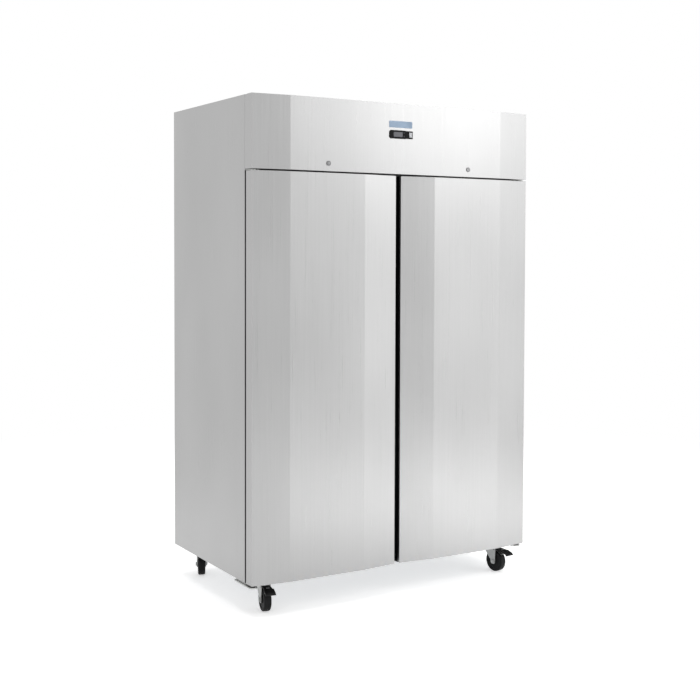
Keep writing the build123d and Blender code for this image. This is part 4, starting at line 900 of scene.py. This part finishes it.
def pipeModels():
    s, d = pipeShape, drierShape
    z = s["height"]
    cx, cy = canShape["middleX"], s["middleY"]
    toCoil = [(cx, cy - s["start"], z), (cx, s["coilY"], z), (s["coilX"], s["coilY"], z)]
    discharge = tubePiece(s["radius"], toCoil, s["bend"])
    downX = cx - s["suctionX"]
    toTray = [(cx - s["start"], cy, z), (downX, cy, z), (downX, cy, s["trayZ"])]
    suction = tubePiece(s["radius"], toTray, s["bend"])
    drier = rodPiece(d["radius"], (d["x"], d["canY"][0], d["z"]), (d["x"], d["canY"][1], d["z"]),
                     sides=d["sides"])
    selectFaces(drier, lambda f: abs(f.normal.y) > facing)
    for i in range(d["swageSteps"]):
        bpy.ops.mesh.inset(thickness=d["swageIn"] / 1000, depth=d["swage"] / d["swageSteps"] / 1000)
    bpy.ops.object.mode_set(mode="OBJECT")
    smooth(drier, d["smooth"])
    line = rodPiece(s["radius"], (d["x"], d["lineY"][0], d["z"]), (d["x"], d["lineY"][1], d["z"]),
                    sides=s["sides"])
    smooth(line, roundSmooth)
    cradle = blockPiece((d["x"] - cradleShape["half"], cradleShape["y"][0], s["trayZ"]),
                        (d["x"] + cradleShape["half"], cradleShape["y"][1], d["z"]))
    roundEdges(cradle, cradleShape["edge"])
    collars = []
    near, far = s["collarFrom"], s["collarTo"]
    for place, end in (((cx, cy - near, z), (cx, cy - far, z)), ((cx - near, cy, z), (cx - far, cy, z))):
        collar = rodPiece(s["radius"] + s["collarRise"], place, end)
        roundEdges(collar, s["collarEdge"])
        collars.append(collar)
    return joined([discharge, suction, drier, line] + collars, "copperPipes"), cradle


pipes, cradle = pipeModels()
dress(pipes, finishOf["refrigerant_pipes"], "refrigerant_pipes")
cradle.name = "drierCradle"
dress(cradle, "blackPlastic", body="cabinet", slot=slotOf["mains_gland"])
print("pipes made")


# Screws on the rear skins: low heads with a round drive recess

screwShape = {"radius": 4.2, "rise": 0.9, "recess": 1.9, "deep": 0.5, "sides": 20, "edge": 0.35, "sharp": 50,
              "rim": 0.4, "wall": 0.2, "leastTop": 20.0}
# rows of screws on the rear skins in mm: across and heights
screwRows = (
    ((-636.0, 636.0), (160, 420, 680, 940, 1200, 1460, 1720, 1790, 1990)),
    ((-420.0, -210.0, 0.0, 210.0, 420.0), (150, 1740, 1782, 2006)),
)


def screwModel():
    # the head stands on Z
    s = screwShape
    head = rodPiece(s["radius"], (0, 0, 0), (0, 0, s["rise"]), sides=s["sides"])
    roundEdges(head, s["edge"], angle=s["sharp"])
    # the top is the one large face that looks up, in square mm
    selectFaces(head, lambda f: f.normal.z > facing and f.calc_area() * 1000000 > s["leastTop"])
    bpy.ops.mesh.inset(thickness=(s["radius"] - s["rim"] - s["recess"]) / 1000)
    bpy.ops.mesh.inset(thickness=s["wall"] / 1000, depth=-s["deep"] / 1000)
    bpy.ops.object.mode_set(mode="OBJECT")
    return head


screw = screwModel()
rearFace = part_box("rear_panel")[1].y
toRear = Matrix.Rotation(math.radians(-90), 4, "X")
screws = []
for across, heights in screwRows:
    for x in across:
        for z in heights:
            screws.append(copied(screw, Matrix.Translation((x / 1000, rearFace, z / 1000)) @ toRear))
bpy.data.objects.remove(screw)
dress(joined(screws, "rearScrews"), "zincPlated", body="cabinet", slot=slotOf["hinge_brackets"])
print("screws made")


# Floor, light and camera

floorSettings = {"size": 60.0, "hex": "#ffffff", "roughness": 0.9, "glow": 0.36, "seenGlow": 0.14,
                 "fadeStart": 1.6, "fadeEnd": 4.5}
bpy.ops.mesh.primitive_plane_add(size=floorSettings["size"], location=(0, 0, 0))
floor = bpy.context.object
floor.name = "studioFloor"
floorMaterial, floorTree, floorShader = newMaterial("paleStudioFloor", floorSettings["hex"],
                                                    floorSettings["roughness"])
floorShader.inputs["Specular IOR Level"].default_value = 0.0
floorShader.inputs["Emission Color"].default_value = linear(floorSettings["hex"])
# seen directly, the floor glows more, so its shadow is lighter there than in the steel's reflections
seen = addNode(floorTree, "ShaderNodeLightPath")
glow = addNode(floorTree, "ShaderNodeMath", {"operation": "MULTIPLY_ADD"},
               {1: floorSettings["seenGlow"], 2: floorSettings["glow"]}, {0: seen.outputs["Is Camera Ray"]})
floorTree.links.new(glow.outputs[0], floorShader.inputs["Emission Strength"])
# away from the cabinet the floor turns into the plain white of the background
spot = addNode(floorTree, "ShaderNodeTexCoord")
away = addNode(floorTree, "ShaderNodeVectorMath", {"operation": "LENGTH"}, links={0: spot.outputs["Object"]})
fade = addNode(floorTree, "ShaderNodeMapRange", {"interpolation_type": "SMOOTHSTEP"},
               {"From Min": floorSettings["fadeStart"], "From Max": floorSettings["fadeEnd"]},
               {"Value": away.outputs["Value"]})
plainWhite = addNode(floorTree, "ShaderNodeEmission",
                     inputs={"Color": linear(floorSettings["hex"]), "Strength": 1.0})
floorMix = addNode(floorTree, "ShaderNodeMixShader",
                   links={0: fade.outputs["Result"], 1: floorShader.outputs["BSDF"],
                          2: plainWhite.outputs[0]})
floorTree.links.new(floorMix.outputs[0], floorTree.nodes["Material Output"].inputs["Surface"])
floor.data.materials.append(floorMaterial)

# the room lights the cabinet softly, and reads as white where it is seen or mirrored
skySettings = {"hex": "#ffffff", "roomGlow": 0.45, "backGlow": 1.0}
world = bpy.data.worlds.new("studioWorld")
bpy.context.scene.world = world
world.use_nodes = True
sky = world.node_tree
sky.nodes.clear()
rays = addNode(sky, "ShaderNodeLightPath")
cameraOrGlossy = addNode(sky, "ShaderNodeMath", {"operation": "MAXIMUM"},
                         links={0: rays.outputs["Is Camera Ray"], 1: rays.outputs["Is Glossy Ray"]})
seenDirectly = addNode(sky, "ShaderNodeMath", {"operation": "MAXIMUM"},
                       links={0: cameraOrGlossy.outputs[0], 1: rays.outputs["Is Transmission Ray"]})
roomGlow = addNode(sky, "ShaderNodeBackground",
                   inputs={"Color": linear(skySettings["hex"]), "Strength": skySettings["roomGlow"]})
whiteBack = addNode(sky, "ShaderNodeBackground",
                    inputs={"Color": linear(skySettings["hex"]), "Strength": skySettings["backGlow"]})
skyMix = addNode(sky, "ShaderNodeMixShader",
                 links={0: seenDirectly.outputs[0], 1: roomGlow.outputs[0], 2: whiteBack.outputs[0]})
addNode(sky, "ShaderNodeOutputWorld", links={"Surface": skyMix.outputs[0]})

lamps = {  # place, aim, width and height in metres, power in watts
    "keyLampHigh": ((3.45, -4.1, 3.3), (0.0, -0.3, 1.8), 2.9, 2.2, 43.0),
    "keyLampLow": ((3.7, -3.9, 1.15), (0.0, -0.3, 1.1), 3.2, 2.2, 14.0),
    "floorLampRight": ((1.8, -2.6, 2.4), (1.8, -2.59, 0.0), 1.8, 1.8, 40.0),
    "fillLampLeft": ((-4.2, -3.2, 3.0), (0.0, 0.0, 1.0), 2.6, 2.6, 18.0),
    "topLamp": ((0.0, 0.2, 4.6), (0.0, 0.0, 0.0), 3.6, 3.6, 80.0),
    "rearLamp": ((2.6, 4.4, 3.0), (0.0, 0.3, 1.0), 2.6, 2.6, 40.0),
}
lampSpread = {"floorLampRight": 100}  # degrees, all others shine over the whole half room
for name, (place, aim, width, height, power) in lamps.items():
    data = bpy.data.lights.new(name, "AREA")
    data.shape = "RECTANGLE"
    data.size, data.size_y, data.energy = width, height, power
    if name in lampSpread:
        data.spread = math.radians(lampSpread[name])
    lamp = bpy.data.objects.new(name, data)
    bpy.context.scene.collection.objects.link(lamp)
    lamp.location = place
    lamp.rotation_euler = (Vector(aim) - Vector(place)).to_track_quat("-Z", "Y").to_euler()

# the place and angles from which the photo was taken, with its focal length in pixels of a 700 pixel frame
view = {"place": (-2.6407, -4.3871, 1.4276), "yaw": 30.9697, "pitch": 2.0652, "roll": 0.1711,
        "focalPixels": 1166.18, "rowPixel": 292.0, "frame": 700, "sensorMm": 36.0, "farEnd": 200.0}
yaw, pitch, roll = (math.radians(view[k]) for k in ("yaw", "pitch", "roll"))
level = Vector((math.cos(yaw), -math.sin(yaw), 0))
ahead = Vector((math.sin(yaw), math.cos(yaw), 0))
up = Vector((0, 0, 1))
forward = ahead * math.cos(pitch) - up * math.sin(pitch)
above = up * math.cos(pitch) + ahead * math.sin(pitch)
right = level * math.cos(roll) + above * math.sin(roll)
above = above * math.cos(roll) - level * math.sin(roll)
cameraData = bpy.data.cameras.new("photoCamera")
camera = bpy.data.objects.new("photoCamera", cameraData)
bpy.context.scene.collection.objects.link(camera)
turn = Matrix((right, above, -forward)).transposed().to_4x4()
camera.matrix_world = Matrix.Translation(view["place"]) @ turn
cameraData.sensor_fit = "HORIZONTAL"
cameraData.sensor_width = view["sensorMm"]
cameraData.lens = view["focalPixels"] * view["sensorMm"] / view["frame"]
cameraData.shift_y = (view["rowPixel"] - view["frame"] / 2) / view["frame"]
cameraData.clip_end = view["farEnd"]
bpy.context.scene.camera = camera
bpy.context.scene.view_settings.view_transform = "Standard"
print("floor, lamps and camera placed")
